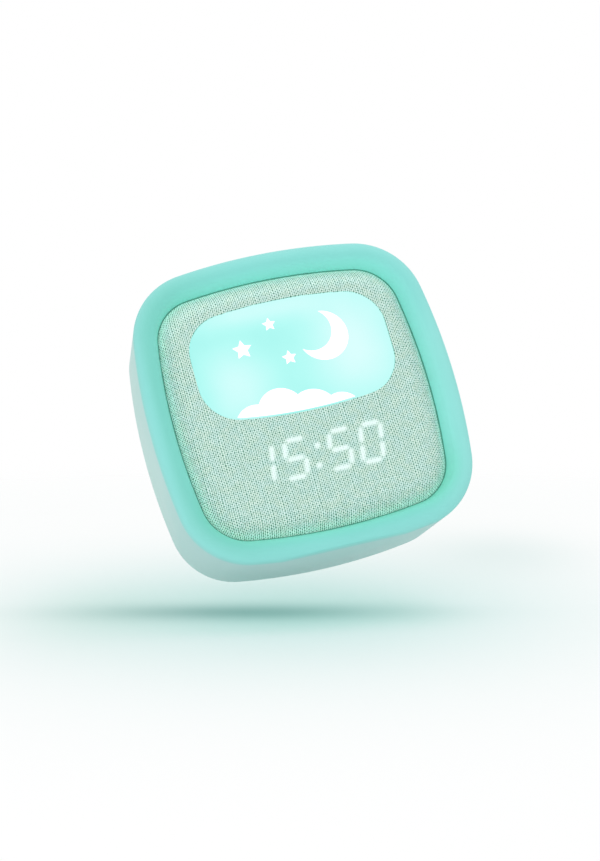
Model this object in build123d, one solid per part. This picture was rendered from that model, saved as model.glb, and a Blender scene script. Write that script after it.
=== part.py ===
from build123d import *
import os
from math import atan2, cos, degrees, hypot, radians, sin, sqrt, tan

# Square bedside clock, night light above and digits below, seen from the front along +Y.
# Millimetres. X to the right, Y from the front to the back, Z up. Every piece is drawn about
# the middle of the square and moved up by CENTRE_HEIGHT when it is written.

# ---- case ----------------------------------------------------------------------------------
CASE_HALF = 50.0            # half the width over the widest part of the rim
CASE_SIDE_RADIUS = 194.6    # gentle bulge of each side
CASE_CORNER_RADIUS = 22.3
CASE_FRONT = -20.0          # crest of the rim
CASE_BACK = 20.0
CASE_DRAFT = 3.4            # degrees, the walls draw in towards the back
BASE_CUT = 1.1              # how much of the lower bulge is flat, to stand on
CENTRE_HEIGHT = CASE_HALF - BASE_CUT

# ---- soft sleeve ---------------------------------------------------------------------------
SLEEVE_WALL = 2.4
RIM_OUTER_ROUND = 4.1
RIM_INNER_ROUND = 2.5
RIM_OPENING_HALF = 42.1     # at the seat, where the opening is smallest
RIM_OPENING_DRAFT = 16.0    # degrees, the opening widens towards the crest
RIM_SEAT = -13.6            # back face of the thick front rim
BACK_ROUND = 6.0
BACK_LIP_HALF = 41.2
BACK_LIP = 2.2
LIP_EDGE_ROUND = 0.6

# ---- fabric panel --------------------------------------------------------------------------
PANEL_HALF = 41.8
PANEL_SIDE_RADIUS = 192.0
PANEL_CORNER_RADIUS = 14.3
PANEL_FRONT = -18.8
PANEL_BACK = RIM_SEAT
PANEL_ROUND = 8.0           # its edge turns back until it reaches the seat
FABRIC = 0.7
CARRIER_WALL = 2.0
CARRIER_RIM = 5.2           # how far the carrier's edge stays solid

# ---- night-light window --------------------------------------------------------------------
WINDOW_HALF_WIDTH = 32.2
WINDOW_HALF_HEIGHT = 18.8
WINDOW_TOP_RADIUS = 152.7
WINDOW_SIDE_RADIUS = 420.0
WINDOW_CORNER_RADIUS = 12.6
WINDOW_HEIGHT = 14.3        # above the middle of the case
WINDOW_PROUD = 0.15
WINDOW_EDGE_ROUND = 0.4
WINDOW_GAP = 0.15
FLANGE_WIDTH = 1.2
FLANGE = 1.0
PRINT = 0.12
PRINT_MARGIN = 0.42         # the print stays this far inside the window's edge
MOON = (11.0, 18.5)
MOON_RADIUS = 8.2
MOON_BITE = (-3.6, 2.6)     # the bite's centre, from the moon's
MOON_BITE_RADIUS = 7.0
CLOUD_PUFFS = ((-17.0, -6.5, 7.2), (-8.5, -3.2, 7.6), (1.5, -6.2, 8.2), (10.5, -7.5, 6.6))
STARS = ((-15.5, 19.0, 3.2), (-5.0, 25.5, 2.2), (-1.5, 13.5, 2.4))
STAR_WAIST = 0.5

# ---- light box -----------------------------------------------------------------------------
BOX_WALL = 1.2
BOX_BACK = -3.2
BOX_FLOOR = 1.3
BOX_FLARE = 14.0            # degrees
BOX_DRAFT = 6.0
LAMP_HOLE_RADIUS = 2.4
LAMP_COLUMNS = (-18.0, 0.0, 18.0)
LAMP_ROWS = (-6.0, 6.0)
LAMP_HALF = (1.75, 1.4)
LAMP_HEIGHT = 1.6
LAMP_BOARD_HALF = (26.0, 12.0)
BOARD = 1.2

# ---- digits --------------------------------------------------------------------------------
DIGIT_CENTRE = (-1.0, -18.75)
DIGIT_OFFSETS = (-18.1, -7.3, 7.3, 17.7)
DIGIT_HALF_WIDTH = 3.3
DIGIT_HALF_HEIGHT = 6.0
DIGIT_SLANT = 10.0          # degrees
BAR_HALF = 0.62
BAR_GAP = 0.35
COLON_LEVEL = -0.6          # the dots sit a little low between the digits
COLON_HALF_HEIGHT = 3.2
COLON_RADIUS = 0.75
SHOWN = ("bc", "afgcd", "afgcd", "abcdef")
BAR_NAMES = "abcdefg"
BLOCK_HALF_WIDTH = 25.2
BLOCK_HALF_HEIGHT = 9.2
BLOCK_CORNER = 1.0
BLOCK = 8.0
WELL_DRAFT = 2.0
BLOCK_FRONT = PANEL_FRONT + FABRIC
CHIP_HALF = (0.5, 0.25)
CHIP_HEIGHT = 0.5
FILL_SHORT = 0.6            # clear resin stops this far from the back of the block
FILL_TRIM = 0.01

# ---- housing -------------------------------------------------------------------------------
SHELL_WALL = 1.8
SHELL_GAP = 0.15
FRONT_PLATE = 1.9
SHELL_BACK = 12.8
POST_X = 34.5
POST_Z = 29.0
POST_RADIUS = 2.9
POST_BACK = 13.9
RIB_HALF = 0.6
RIB_BACK = 4.0
RIB_LENGTH = 9.0
SCREW_RADIUS = 1.2
SCREW_HOLE_GAP = 0.05
SCREW_CLEAR_RADIUS = 1.5
SCREW_HEAD_RADIUS = 2.3
SCREW_HEAD = 1.4
SCREW_LENGTH = 9.0

COVER_FACE = 18.8
COVER_INSIDE = 16.6
COVER_PANEL_HALF = 40.9
COVER_FLANGE_BACK = 17.7
COVER_WALL = 2.0
COVER_PANEL_BEVEL = 0.8
SINK_RADIUS = 2.8
SINK_FLOOR = 16.0
SINK_BOSS_RADIUS = 4.3

# ---- main board and what is on it ----------------------------------------------------------
MAIN_FRONT = 9.0
MAIN_BACK = MAIN_FRONT + BOARD
MAIN_HALF_WIDTH = 30.0
MAIN_LOW = -30.0
MAIN_HIGH = 26.0
MAIN_HOLES = ((-27.0, -27.0), (27.0, -27.0), (-27.0, 23.0), (27.0, 23.0))
STAND_RADIUS = 2.6
BOARD_SCREW_LENGTH = 5.0
CLOCK_CHIP = ((4.0, 14.0), (3.5, 3.5), 1.0)     # place, half size and height
DRIVER_CHIP = ((-9.0, 15.0), (2.5, 4.5), 1.4)
CRYSTAL_CAN = ((13.0, 20.0), (1.6, 1.0), 0.8)
PLUG_PLACE = (-20.0, 12.0)
PLUG_HALF = (3.0, 2.2)
PLUG_HEIGHT = 3.6

# ---- keys at the back ----------------------------------------------------------------------
KEY_PLACES = {"time": (23.0, 15.0), "alarm": (10.0, 15.0), "plus": (23.0, 2.0), "minus": (10.0, 2.0)}
KEY_RADIUS = 4.0
KEY_PROUD = 0.8
KEY_EDGE_BEVEL = 0.6
KEY_DISH_RADIUS = 16.0
KEY_DISH = 0.35
KEY_GAP = 0.25
KEY_FLANGE_RADIUS = 4.9
KEY_FLANGE = 1.1
KEY_REST_GAP = 0.15
SWITCH_HALF = 3.0
SWITCH_HEIGHT = 3.2
PLUNGER_RADIUS = 1.6
PLUNGER_GAP = 0.1
PLUNGER_WELL = 1.9
PLUNGER_SUNK = 1.3
PLUNGER_PROUD = 0.9

# ---- light key on the top ------------------------------------------------------------------
LIGHT_KEY_HALF_LENGTH = 13.0
LIGHT_KEY_HALF_WIDTH = 4.2
LIGHT_KEY_GAP = 0.4
LIGHT_KEY_PROUD = 0.5
LIGHT_KEY_FLANGE = 1.2
LIGHT_KEY_FLANGE_WIDTH = 1.0
LIGHT_KEY_EDGE_ROUND = 0.5
LIGHT_KEY_LOW = 43.5        # top of the flange that keeps the key in
LIGHT_KEY_SEAT = 40.0
LIGHT_BOARD_HALF = (9.0, 6.0)
LIGHT_BOARD_LOW = 36.3
LIGHT_SWITCH_BASE = LIGHT_BOARD_LOW + BOARD
LEDGE = 1.6

# ---- alarm slider --------------------------------------------------------------------------
SLIDER_PLACE = (16.5, -11.0)
SLIDER_TRAVEL = 3.0
SLIDER_NECK = (2.6, 1.7)
SLIDER_PAD = (6.2, 4.6)
SLIDER_GAP = 0.3
SLIDER_RECESS_FLOOR = 17.8
SLIDER_BODY = (9.4, 4.8)
SLIDER_BODY_HEIGHT = 4.0
SLIDER_WELL = 2.0
SLIDER_LIFT = 0.15
SLIDER_PROUD = 0.6
SLIDER_CORNER = 0.8
RIDGES = 4
RIDGE_PITCH = 1.4
RIDGE = 0.35
RECESS_CORNER = 1.2

# ---- usb socket ----------------------------------------------------------------------------
USB_PLACE = (0.0, -26.0)
USB_HALF = (4.47, 1.63)
USB_WALL = 0.3
USB_MOUTH = 17.4
USB_TONGUE = (3.35, 0.35)
USB_RECESS = (6.4, 3.4)
USB_RECESS_FLOOR = 17.6
USB_CORNER = 1.55
USB_BASE = 1.0
USB_TONGUE_SUNK = 0.9

# ---- speaker -------------------------------------------------------------------------------
SPEAKER_PLACE = (-15.0, 8.0)
SPEAKER_RADIUS = 13.0
SPEAKER_DEPTH = 4.1
SPEAKER_BACK = 16.1         # the rim's face towards the cover
SPEAKER_RIM = 1.1
SPEAKER_SHEET = 0.8
SPEAKER_CUP_RADIUS = 9.0
SPEAKER_GAP = 0.2
SPEAKER_WALL = 0.7
SPEAKER_RIM_FRONT = 13.4
MAGNET_HOLE_RADIUS = 3.0
MAGNET_RADIUS = 6.0
MAGNET = 1.1
CONE_SHEET = 0.3
CONE_DEPTH = 2.0
CAP_RADIUS = 3.4
CAP_RISE = 1.1
LUG_HALF = (3.2, 1.2)
LUG_REACH = 2.0
LUG_INSET = 0.5
SPEAKER_PAD = -9.5
GRILLE_RADIUS = 10.5
GRILLE_PITCH = 3.0
GRILLE_SLOT_HALF = 0.8
GRILLE_ROWS = 7

# ---- battery -------------------------------------------------------------------------------
BATTERY_PLACE = (0.0, -13.0)
BATTERY_HALF = (24.0, 16.5)
BATTERY_CORNER = 1.5
BATTERY = 5.0
BATTERY_PAD = 0.8
LEAD_RADIUS = 0.6
LEAD_SPREAD = 0.9
LEAD_ARC_SHARE = 0.45
LAMP_LEAD_HIGH = 21.0
LAMP_LEAD_LOW = 24.0
KEY_LEAD_X = -4.0
KEY_LEAD_DEPTH = 3.5
KEY_LEAD_LOW = 22.0
RIBBON_X = 10.0
RIBBON_LOW = -12.0
RIBBON_HIGH = 6.5
RIBBON_BENDS = ((RIBBON_X, -4.5, RIBBON_LOW), (RIBBON_X, 0.6, -2.0), (RIBBON_X, 0.6, RIBBON_HIGH))
RIBBON_BEND = 2.0
RIBBON_WIDTH = 14.0
RIBBON = 0.3

# ---- screws --------------------------------------------------------------------------------
CROSS_HALF = 1.3
CROSS_WIDTH = 0.3
CROSS_DEPTH = 0.7


def corner_centre(half_width, half_height, side_radius, top_radius, corner_radius):
    """Centre of the corner arc that is tangent inside the side arc and the top arc."""
    side_x = half_width - side_radius
    top_z = half_height - top_radius
    side_reach = side_radius - corner_radius
    top_reach = top_radius - corner_radius
    apart = hypot(side_x, top_z)
    along = (side_reach**2 - top_reach**2 + apart**2) / (2 * apart)
    across = sqrt(side_reach**2 - along**2)
    toward_x = -side_x / apart
    toward_z = top_z / apart
    return side_x + toward_x * along - toward_z * across, toward_z * along + toward_x * across


def outline(half_width, half_height, side_radius, top_radius, corner_radius):
    """Closed line of bulging sides and tangent corner arcs, starting at the middle of the right side."""
    side_x = half_width - side_radius
    top_z = half_height - top_radius
    corner_x, corner_z = corner_centre(half_width, half_height, side_radius, top_radius, corner_radius)
    side_end = degrees(atan2(corner_z, corner_x - side_x))
    top_start = degrees(atan2(corner_z - top_z, corner_x))
    corner_turn = top_start - side_end
    top_turn = 180 - 2 * top_start
    return Wire(
        [
            CenterArc((side_x, 0), side_radius, 0, side_end),
            CenterArc((corner_x, corner_z), corner_radius, side_end, corner_turn),
            CenterArc((0, top_z), top_radius, top_start, top_turn),
            CenterArc((-corner_x, corner_z), corner_radius, 180 - top_start, corner_turn),
            CenterArc((-side_x, 0), side_radius, 180 - side_end, 2 * side_end),
            CenterArc((-corner_x, -corner_z), corner_radius, 180 + side_end, corner_turn),
            CenterArc((0, -top_z), top_radius, 180 + top_start, top_turn),
            CenterArc((corner_x, -corner_z), corner_radius, 360 - top_start, corner_turn),
            CenterArc((side_x, 0), side_radius, 360 - side_end, side_end),
        ]
    )


def case_line(inset):
    """The case outline at its widest, drawn in evenly by inset."""
    side = CASE_SIDE_RADIUS - inset
    half = CASE_HALF - inset
    return outline(half, half, side, side, CASE_CORNER_RADIUS - inset)


def case_shape(inset):
    return make_face(case_line(inset))


def panel_shape(inset):
    side = PANEL_SIDE_RADIUS - inset
    half = PANEL_HALF - inset
    return make_face(outline(half, half, side, side, PANEL_CORNER_RADIUS - inset))


def window_shape(grow):
    """The window outline, grown evenly, at its height on the front."""
    shape = outline(
        WINDOW_HALF_WIDTH + grow,
        WINDOW_HALF_HEIGHT + grow,
        WINDOW_SIDE_RADIUS + grow,
        WINDOW_TOP_RADIUS + grow,
        WINDOW_CORNER_RADIUS + grow,
    )
    return Pos(0, WINDOW_HEIGHT) * make_face(shape)


def slab(shape, front, back, taper=0.0):
    """A shape drawn as seen from the front, made solid from y=front to y=back.

    With a taper in degrees it draws in from the front towards the back."""
    if taper:
        return Plane.XZ.offset(-front) * extrude(shape, -(back - front), taper=taper)
    return Plane.XZ.offset(-back) * extrude(shape, back - front)


def peg(place, radius, front, back):
    """A round bar along Y."""
    return slab(Pos(*place) * Circle(radius), front, back)


def brick(place, half, front, back):
    """A rectangular block given by its middle and half size as seen from the front."""
    return slab(Pos(*place) * Rectangle(2 * half[0], 2 * half[1]), front, back)


def joined(solids):
    """Touching or overlapping solids made one."""
    return Part() + list(solids)


def wall_inset(y):
    """How far the outer wall has drawn in, at depth y, from the widest line of the case."""
    widest = CASE_FRONT + RIM_OUTER_ROUND
    return (y - widest) * tan(radians(CASE_DRAFT))


def swept(points, radii):
    """A closed section in x and y at the right side, carried round the case outline."""
    section = FilletPolyline(*points, radius=radii, close=True)
    return sweep(make_face(section), path=Plane.XZ * case_line(0))


# ---- sleeve and housing --------------------------------------------------------------------


def sleeve():
    """Soft sleeve: thick rounded front rim, thin drawn-in walls and a lip over the back edge."""
    inner_front = CASE_HALF - wall_inset(RIM_SEAT) - SLEEVE_WALL
    turn = BACK_ROUND - SLEEVE_WALL
    turn_depth = CASE_BACK - BACK_LIP - turn
    inner_back = CASE_HALF - wall_inset(turn_depth) - SLEEVE_WALL
    flare = (RIM_SEAT - CASE_FRONT) * tan(radians(RIM_OPENING_DRAFT))
    points = (
        (CASE_HALF - wall_inset(CASE_FRONT), CASE_FRONT),
        (CASE_HALF - wall_inset(CASE_BACK), CASE_BACK),
        (BACK_LIP_HALF, CASE_BACK),
        (BACK_LIP_HALF, CASE_BACK - BACK_LIP),
        (inner_back - turn, CASE_BACK - BACK_LIP),
        (inner_back, turn_depth),
        (inner_front, RIM_SEAT),
        (RIM_OPENING_HALF, RIM_SEAT),
        (RIM_OPENING_HALF + flare, CASE_FRONT),
    )
    radii = [RIM_OUTER_ROUND, BACK_ROUND, LIP_EDGE_ROUND, 0, 0, 0, 0, 0, RIM_INNER_ROUND]
    body = swept(points, radii)
    floor = Box(CASE_HALF, CASE_BACK - CASE_FRONT, BASE_CUT, align=(Align.CENTER, Align.CENTER, Align.MAX))
    body -= Pos(0, 0, -CENTRE_HEIGHT) * floor
    return body - light_key_bar(LIGHT_KEY_GAP, 0)


def light_key_bar(grow, low):
    """Upright bar with round ends that runs out through the top wall, grown evenly."""
    long = 2 * (LIGHT_KEY_HALF_LENGTH + grow)
    wide = 2 * (LIGHT_KEY_HALF_WIDTH + grow)
    return Pos(0, 0, low) * extrude(SlotOverall(long, wide), CASE_HALF + BASE_CUT - low)


def shell_shape(y, inset=0.0):
    """The case outline where the housing wall stands at depth y, drawn in by inset."""
    return case_shape(SLEEVE_WALL + SHELL_GAP + wall_inset(y) + inset)


def front_shell():
    """Moulded housing: front plate with two openings, side walls, screw posts and a key shelf."""
    plate_front = RIM_SEAT
    plate_back = plate_front + FRONT_PLATE
    body = slab(shell_shape(plate_front), plate_front, SHELL_BACK, CASE_DRAFT)
    body -= slab(shell_shape(plate_back, SHELL_WALL), plate_back, SHELL_BACK + SHELL_WALL, CASE_DRAFT)
    body -= slab(window_shape(BOX_WALL + SHELL_GAP), plate_front, plate_back)
    body -= slab(block_shape(SHELL_GAP), plate_front, plate_back)
    body -= light_key_bar(LIGHT_KEY_GAP, LIGHT_KEY_SEAT)
    posts = [peg(place, POST_RADIUS, plate_back, POST_BACK) for place in post_places()]
    ribs = [post_rib(place, plate_back) for place in post_places()]
    ledges = [ledge(side, plate_back) for side in (-1, 1)]
    body = joined([body, *posts, *ribs, *ledges])
    hole_front = SINK_FLOOR - SCREW_LENGTH - SCREW_RADIUS
    for place in post_places():
        body -= peg(place, SCREW_RADIUS + SCREW_HOLE_GAP, hole_front, POST_BACK)
    return body


def post_places():
    return [(x, z) for x in (-POST_X, POST_X) for z in (-POST_Z, POST_Z)]


def post_rib(place, front):
    """Web that ties a screw post to the side wall next to it."""
    side = place[0] / abs(place[0])
    middle = abs(place[0]) + RIB_LENGTH / 2
    half_length = RIB_LENGTH / 2
    return brick((side * middle, place[1]), (half_length, RIB_HALF), front, RIB_BACK)


def ledge(side, front):
    """One of two ledges that carry the small board under the light key."""
    low = LIGHT_BOARD_LOW - LEDGE
    middle = (side * (LIGHT_BOARD_HALF[0] - LEDGE), low + LEDGE / 2)
    return brick(middle, (LEDGE, LEDGE / 2), front, LIGHT_BOARD_HALF[1])


def rear_cover():
    """Dished cover with a raised panel, key holes, speaker slots, socket recess and screw sinks."""
    straight = SHELL_BACK + SHELL_GAP
    turn = CASE_BACK - BACK_LIP - BACK_ROUND + SLEEVE_WALL - SHELL_GAP
    outer = shell_shape(turn)
    inner = shell_shape(turn, COVER_WALL)
    raised = slab(case_shape(CASE_HALF - COVER_PANEL_HALF), COVER_INSIDE, COVER_FACE)
    raised = chamfer(raised.faces().sort_by(Axis.Y)[-1].edges(), COVER_PANEL_BEVEL)
    body = slab(outer, straight, turn) + slab(outer, turn, COVER_FLANGE_BACK, 45) + raised
    body -= slab(inner, straight, turn) + slab(inner, turn, COVER_INSIDE, 45)
    stands = [peg(place, STAND_RADIUS, MAIN_BACK, COVER_INSIDE) for place in MAIN_HOLES]
    bosses = [peg(place, SINK_BOSS_RADIUS, POST_BACK, COVER_INSIDE) for place in post_places()]
    ring = peg(SPEAKER_PLACE, SPEAKER_RADIUS + 2 * SPEAKER_WALL, SPEAKER_RIM_FRONT, COVER_INSIDE)
    ring -= peg(SPEAKER_PLACE, SPEAKER_RADIUS + SPEAKER_GAP, SPEAKER_RIM_FRONT, COVER_INSIDE)
    lug_place = (SPEAKER_PLACE[0], SPEAKER_PLACE[1] - SPEAKER_RADIUS)
    lug_room = (LUG_HALF[0] + SPEAKER_GAP, LUG_HALF[1] + LUG_REACH)
    ring -= brick(lug_place, lug_room, SPEAKER_RIM_FRONT, COVER_INSIDE)
    body = joined([body, *stands, *bosses, ring])
    for place in MAIN_HOLES:
        body -= peg(place, SCREW_RADIUS + SCREW_HOLE_GAP, MAIN_BACK, COVER_INSIDE)
    for place in post_places():
        body -= peg(place, SINK_RADIUS, SINK_FLOOR, COVER_FACE)
        body -= peg(place, SCREW_CLEAR_RADIUS, POST_BACK, SINK_FLOOR)
    for place in KEY_PLACES.values():
        body -= peg(place, KEY_RADIUS + KEY_GAP, COVER_INSIDE, COVER_FACE)
    body -= slider_opening()
    body -= usb_opening()
    for slot in speaker_slots():
        body -= slot
    return body


def speaker_slots():
    """Level slots with round ends, their lengths following a circle over the speaker."""
    slots = []
    for row in range(GRILLE_ROWS):
        drop = (row - (GRILLE_ROWS - 1) / 2) * GRILLE_PITCH
        half_length = sqrt(GRILLE_RADIUS**2 - drop**2)
        shape = SlotOverall(2 * half_length, 2 * GRILLE_SLOT_HALF)
        place = Pos(SPEAKER_PLACE[0], SPEAKER_PLACE[1] + drop)
        slots.append(slab(place * shape, COVER_INSIDE, COVER_FACE))
    return slots


def rounded_block(place, half, corner, front, back):
    """A block with rounded upright corners as seen from the front."""
    shape = RectangleRounded(2 * half[0], 2 * half[1], corner)
    return slab(Pos(*place) * shape, front, back)


def slider_opening():
    """Shallow recess for the finger pad, with a slot for its neck."""
    run = SLIDER_TRAVEL / 2 + SLIDER_GAP
    recess = (SLIDER_PAD[0] / 2 + run, SLIDER_PAD[1] / 2 + SLIDER_GAP)
    slot = (SLIDER_NECK[0] / 2 + run, SLIDER_NECK[1] / 2 + SLIDER_GAP)
    shallow = rounded_block(SLIDER_PLACE, recess, RECESS_CORNER, SLIDER_RECESS_FLOOR, COVER_FACE)
    return shallow + brick(SLIDER_PLACE, slot, COVER_INSIDE, SLIDER_RECESS_FLOOR)


def usb_opening():
    """Recess for a plug's grip, with an opening round the socket's mouth."""
    mouth = (USB_HALF[0] + SLIDER_GAP, USB_HALF[1] + SLIDER_GAP)
    corner = USB_RECESS[1] - RECESS_CORNER
    shallow = rounded_block(USB_PLACE, USB_RECESS, corner, USB_RECESS_FLOOR, COVER_FACE)
    return shallow + rounded_block(USB_PLACE, mouth, USB_HALF[1], COVER_INSIDE, USB_RECESS_FLOOR)


# ---- fabric front --------------------------------------------------------------------------


def pillow(inset):
    """The front panel's form, flat with large round edges, drawn in evenly from its skin.

    The edge is cut off at the panel's back, before its arc has turned all the way."""
    deep = PANEL_FRONT + 2 * PANEL_ROUND
    unturned = PANEL_ROUND - (PANEL_BACK - PANEL_FRONT)
    beyond = PANEL_ROUND - sqrt(PANEL_ROUND**2 - unturned**2)
    block = slab(panel_shape(inset - beyond), PANEL_FRONT + inset, deep)
    block = fillet(block.faces().sort_by(Axis.Y)[0].edges(), PANEL_ROUND - inset)
    behind = brick((0, 0), (CASE_HALF, CASE_HALF), PANEL_BACK, deep)
    return block - behind


def fabric_cover():
    """Woven skin stretched over the carrier, open at the window and unbroken over the digits."""
    skin = pillow(0) - pillow(FABRIC)
    return skin - slab(window_shape(WINDOW_GAP), PANEL_FRONT, PANEL_BACK)


def fabric_carrier():
    """Dished plate under the fabric, with openings for the window and the digit block."""
    plate_back = PANEL_FRONT + FABRIC + CARRIER_WALL
    plate = pillow(FABRIC) - slab(panel_shape(CARRIER_RIM), plate_back, PANEL_BACK)
    plate -= slab(window_shape(WINDOW_GAP), PANEL_FRONT, PANEL_BACK)
    return plate - slab(block_shape(SHELL_GAP), PANEL_FRONT, PANEL_BACK)


# ---- night light ---------------------------------------------------------------------------


def window_lens():
    """Milky window, a little proud of the fabric, with a flange glued behind the carrier."""
    front = PANEL_FRONT - WINDOW_PROUD
    flange_front = PANEL_FRONT + FABRIC + CARRIER_WALL
    body = slab(window_shape(0), front, flange_front)
    body = fillet(body.faces().sort_by(Axis.Y)[0].edges(), WINDOW_EDGE_ROUND)
    return body + slab(window_shape(FLANGE_WIDTH), flange_front, flange_front + FLANGE)


def star(place, radius, points=5):
    """A plain star with straight sides."""
    corners = []
    for step in range(2 * points):
        reach = radius if step % 2 == 0 else radius * STAR_WAIST
        turn = radians(90 + step * 180 / points)
        corners.append((place[0] + reach * cos(turn), place[1] + reach * sin(turn)))
    return make_face(Polyline(*corners, close=True))


def window_print():
    """Thin white print on the window: a crescent moon, stars and a bank of cloud."""
    moon = Pos(*MOON) * (Circle(MOON_RADIUS) - Pos(*MOON_BITE) * Circle(MOON_BITE_RADIUS))
    cloud = Sketch() + [Pos(x, z) * Circle(radius) for x, z, radius in CLOUD_PUFFS]
    cloud = cloud & window_shape(-PRINT_MARGIN)
    stars = [star(place[:2], place[2]) for place in STARS]
    front = PANEL_FRONT - WINDOW_PROUD - PRINT
    back = PANEL_FRONT - WINDOW_PROUD
    return joined([slab(shape, front, back) for shape in (moon, cloud, *stars)])


def light_box():
    """White tray behind the window, its sides flaring forward, with holes for the lamps."""
    front = box_front()
    tray = slab(window_shape(BOX_WALL), front, BOX_BACK, BOX_DRAFT)
    tray -= slab(window_shape(0), front, BOX_BACK - BOX_FLOOR, BOX_FLARE)
    for place in lamp_places():
        tray -= peg(place, LAMP_HOLE_RADIUS, BOX_BACK - BOX_FLOOR, BOX_BACK)
    return tray


def box_front():
    return PANEL_FRONT + FABRIC + CARRIER_WALL + FLANGE


def lamp_places():
    return [(x, WINDOW_HEIGHT + z) for x in LAMP_COLUMNS for z in LAMP_ROWS]


def lamp_board():
    return brick((0, WINDOW_HEIGHT), LAMP_BOARD_HALF, BOX_BACK, BOX_BACK + BOARD)


def lamp_leds():
    """Six surface-mounted lamps that look forward through the tray's holes."""
    return joined([brick(place, LAMP_HALF, BOX_BACK - LAMP_HEIGHT, BOX_BACK) for place in lamp_places()])


# ---- digits --------------------------------------------------------------------------------


def block_shape(grow):
    """Outline of the digit block, grown evenly, at its place on the front."""
    wide = 2 * (BLOCK_HALF_WIDTH + grow)
    high = 2 * (BLOCK_HALF_HEIGHT + grow)
    return Pos(*DIGIT_CENTRE) * RectangleRounded(wide, high, BLOCK_CORNER)


def slanted(x, z):
    """A point of a digit, leaned over to the right by the slant."""
    return x + z * tan(radians(DIGIT_SLANT)), z


def bar_places():
    """Middle, half length and direction of the seven bars of a digit, a to g."""
    wide = DIGIT_HALF_WIDTH
    high = DIGIT_HALF_HEIGHT
    flat = wide - BAR_GAP
    tall = high / 2 - BAR_GAP
    return {
        "a": (0, high, flat, True),
        "b": (wide, high / 2, tall, False),
        "c": (wide, -high / 2, tall, False),
        "d": (0, -high, flat, True),
        "e": (-wide, -high / 2, tall, False),
        "f": (-wide, high / 2, tall, False),
        "g": (0, 0, flat, True),
    }


def bar_shape(digit_x, name, trim=0.0):
    """One pointed bar of a digit, leaned over and set at its place on the front."""
    x, z, half_length, level = bar_places()[name]
    half = BAR_HALF - trim
    reach = half_length - trim
    shoulder = reach - half
    upper = ((-reach, 0), (-shoulder, half), (shoulder, half))
    lower = ((reach, 0), (shoulder, -half), (-shoulder, -half))
    tips = upper + lower
    if level:
        corners = [slanted(x + along, z + across) for along, across in tips]
    else:
        corners = [slanted(x - across, z + along) for along, across in tips]
    face = make_face(Polyline(*corners, close=True))
    return Pos(DIGIT_CENTRE[0] + digit_x, DIGIT_CENTRE[1]) * face


def colon_places():
    """Middles of the two dots between hours and minutes."""
    heights = (COLON_LEVEL - COLON_HALF_HEIGHT, COLON_LEVEL + COLON_HALF_HEIGHT)
    leaned = [slanted(0, height) for height in heights]
    return [(DIGIT_CENTRE[0] + x, DIGIT_CENTRE[1] + z) for x, z in leaned]


def colon_dots(trim=0.0):
    """The two round dots between hours and minutes."""
    return [Pos(*place) * Circle(COLON_RADIUS - trim) for place in colon_places()]


def bar_shapes(lit, trim=0.0):
    """Bars that glow in the shown time, or those that stay dark."""
    shapes = []
    for digit_x, shown in zip(DIGIT_OFFSETS, SHOWN):
        names = [name for name in BAR_NAMES if (name in shown) == lit]
        shapes += [bar_shape(digit_x, name, trim) for name in names]
    return shapes


def digit_block():
    """Reflector block with a tapered well behind every bar and dot."""
    back = BLOCK_FRONT + BLOCK
    block = slab(block_shape(0), BLOCK_FRONT, back)
    for shape in bar_shapes(True) + bar_shapes(False) + colon_dots():
        block -= slab(shape, BLOCK_FRONT, back, WELL_DRAFT)
    return block


def clear_fills(shapes):
    """Clear resin poured into wells, stopping just short of the light chips."""
    back = BLOCK_FRONT + BLOCK - FILL_SHORT
    return joined([slab(shape, BLOCK_FRONT, back, WELL_DRAFT) for shape in shapes])


def digits_lit():
    return clear_fills(bar_shapes(True, FILL_TRIM) + colon_dots(FILL_TRIM))


def digits_dark():
    return clear_fills(bar_shapes(False, FILL_TRIM))


def display_board():
    back = BLOCK_FRONT + BLOCK
    return slab(block_shape(0), back, back + BOARD)


def display_chips():
    """A light chip at the bottom of every well."""
    back = BLOCK_FRONT + BLOCK
    chips = []
    for digit_x in DIGIT_OFFSETS:
        for x, z, _, level in bar_places().values():
            lean_x, lean_z = slanted(x, z)
            place = (DIGIT_CENTRE[0] + digit_x + lean_x, DIGIT_CENTRE[1] + lean_z)
            half = CHIP_HALF if level else CHIP_HALF[::-1]
            chips.append(brick(place, half, back - CHIP_HEIGHT, back))
    for place in colon_places():
        chips.append(brick(place, (CHIP_HALF[1], CHIP_HALF[1]), back - CHIP_HEIGHT, back))
    return joined(chips)


# ---- boards and leads ----------------------------------------------------------------------


def main_board():
    middle = (0, (MAIN_LOW + MAIN_HIGH) / 2)
    half = (MAIN_HALF_WIDTH, (MAIN_HIGH - MAIN_LOW) / 2)
    board = rounded_block(middle, half, BLOCK_CORNER, MAIN_FRONT, MAIN_BACK)
    for place in MAIN_HOLES:
        board -= peg(place, SCREW_CLEAR_RADIUS, MAIN_FRONT, MAIN_BACK)
    return board


def board_chips():
    """Clock chip, driver chip and crystal can on the front of the main board."""
    chips = (CLOCK_CHIP, DRIVER_CHIP, CRYSTAL_CAN)
    return joined([brick(place, half, MAIN_FRONT - high, MAIN_FRONT) for place, half, high in chips])


def lead(points, radius=LEAD_RADIUS):
    """A thin lead along straight runs and tangent arcs, with six flats to keep it light."""
    arcs = []
    for before, here, after in zip(points, points[1:], points[2:]):
        into = Vector(*here) - Vector(*before)
        out = Vector(*after) - Vector(*here)
        shorter = min(into.length, out.length)
        arcs.append(LEAD_ARC_SHARE * shorter / tan(radians(into.get_angle(out) / 2)))
    path = FilletPolyline(*points, radius=arcs)
    start = Plane(origin=points[0], z_dir=Vector(*points[1]) - Vector(*points[0]))
    return sweep(start * RegularPolygon(radius, 6), path=path)


def lead_pair(x, points):
    """Two leads side by side on one route, given as depth and height."""
    return joined([lead([(x + side * LEAD_SPREAD, y, z) for y, z in points]) for side in (-1, 1)])


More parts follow.
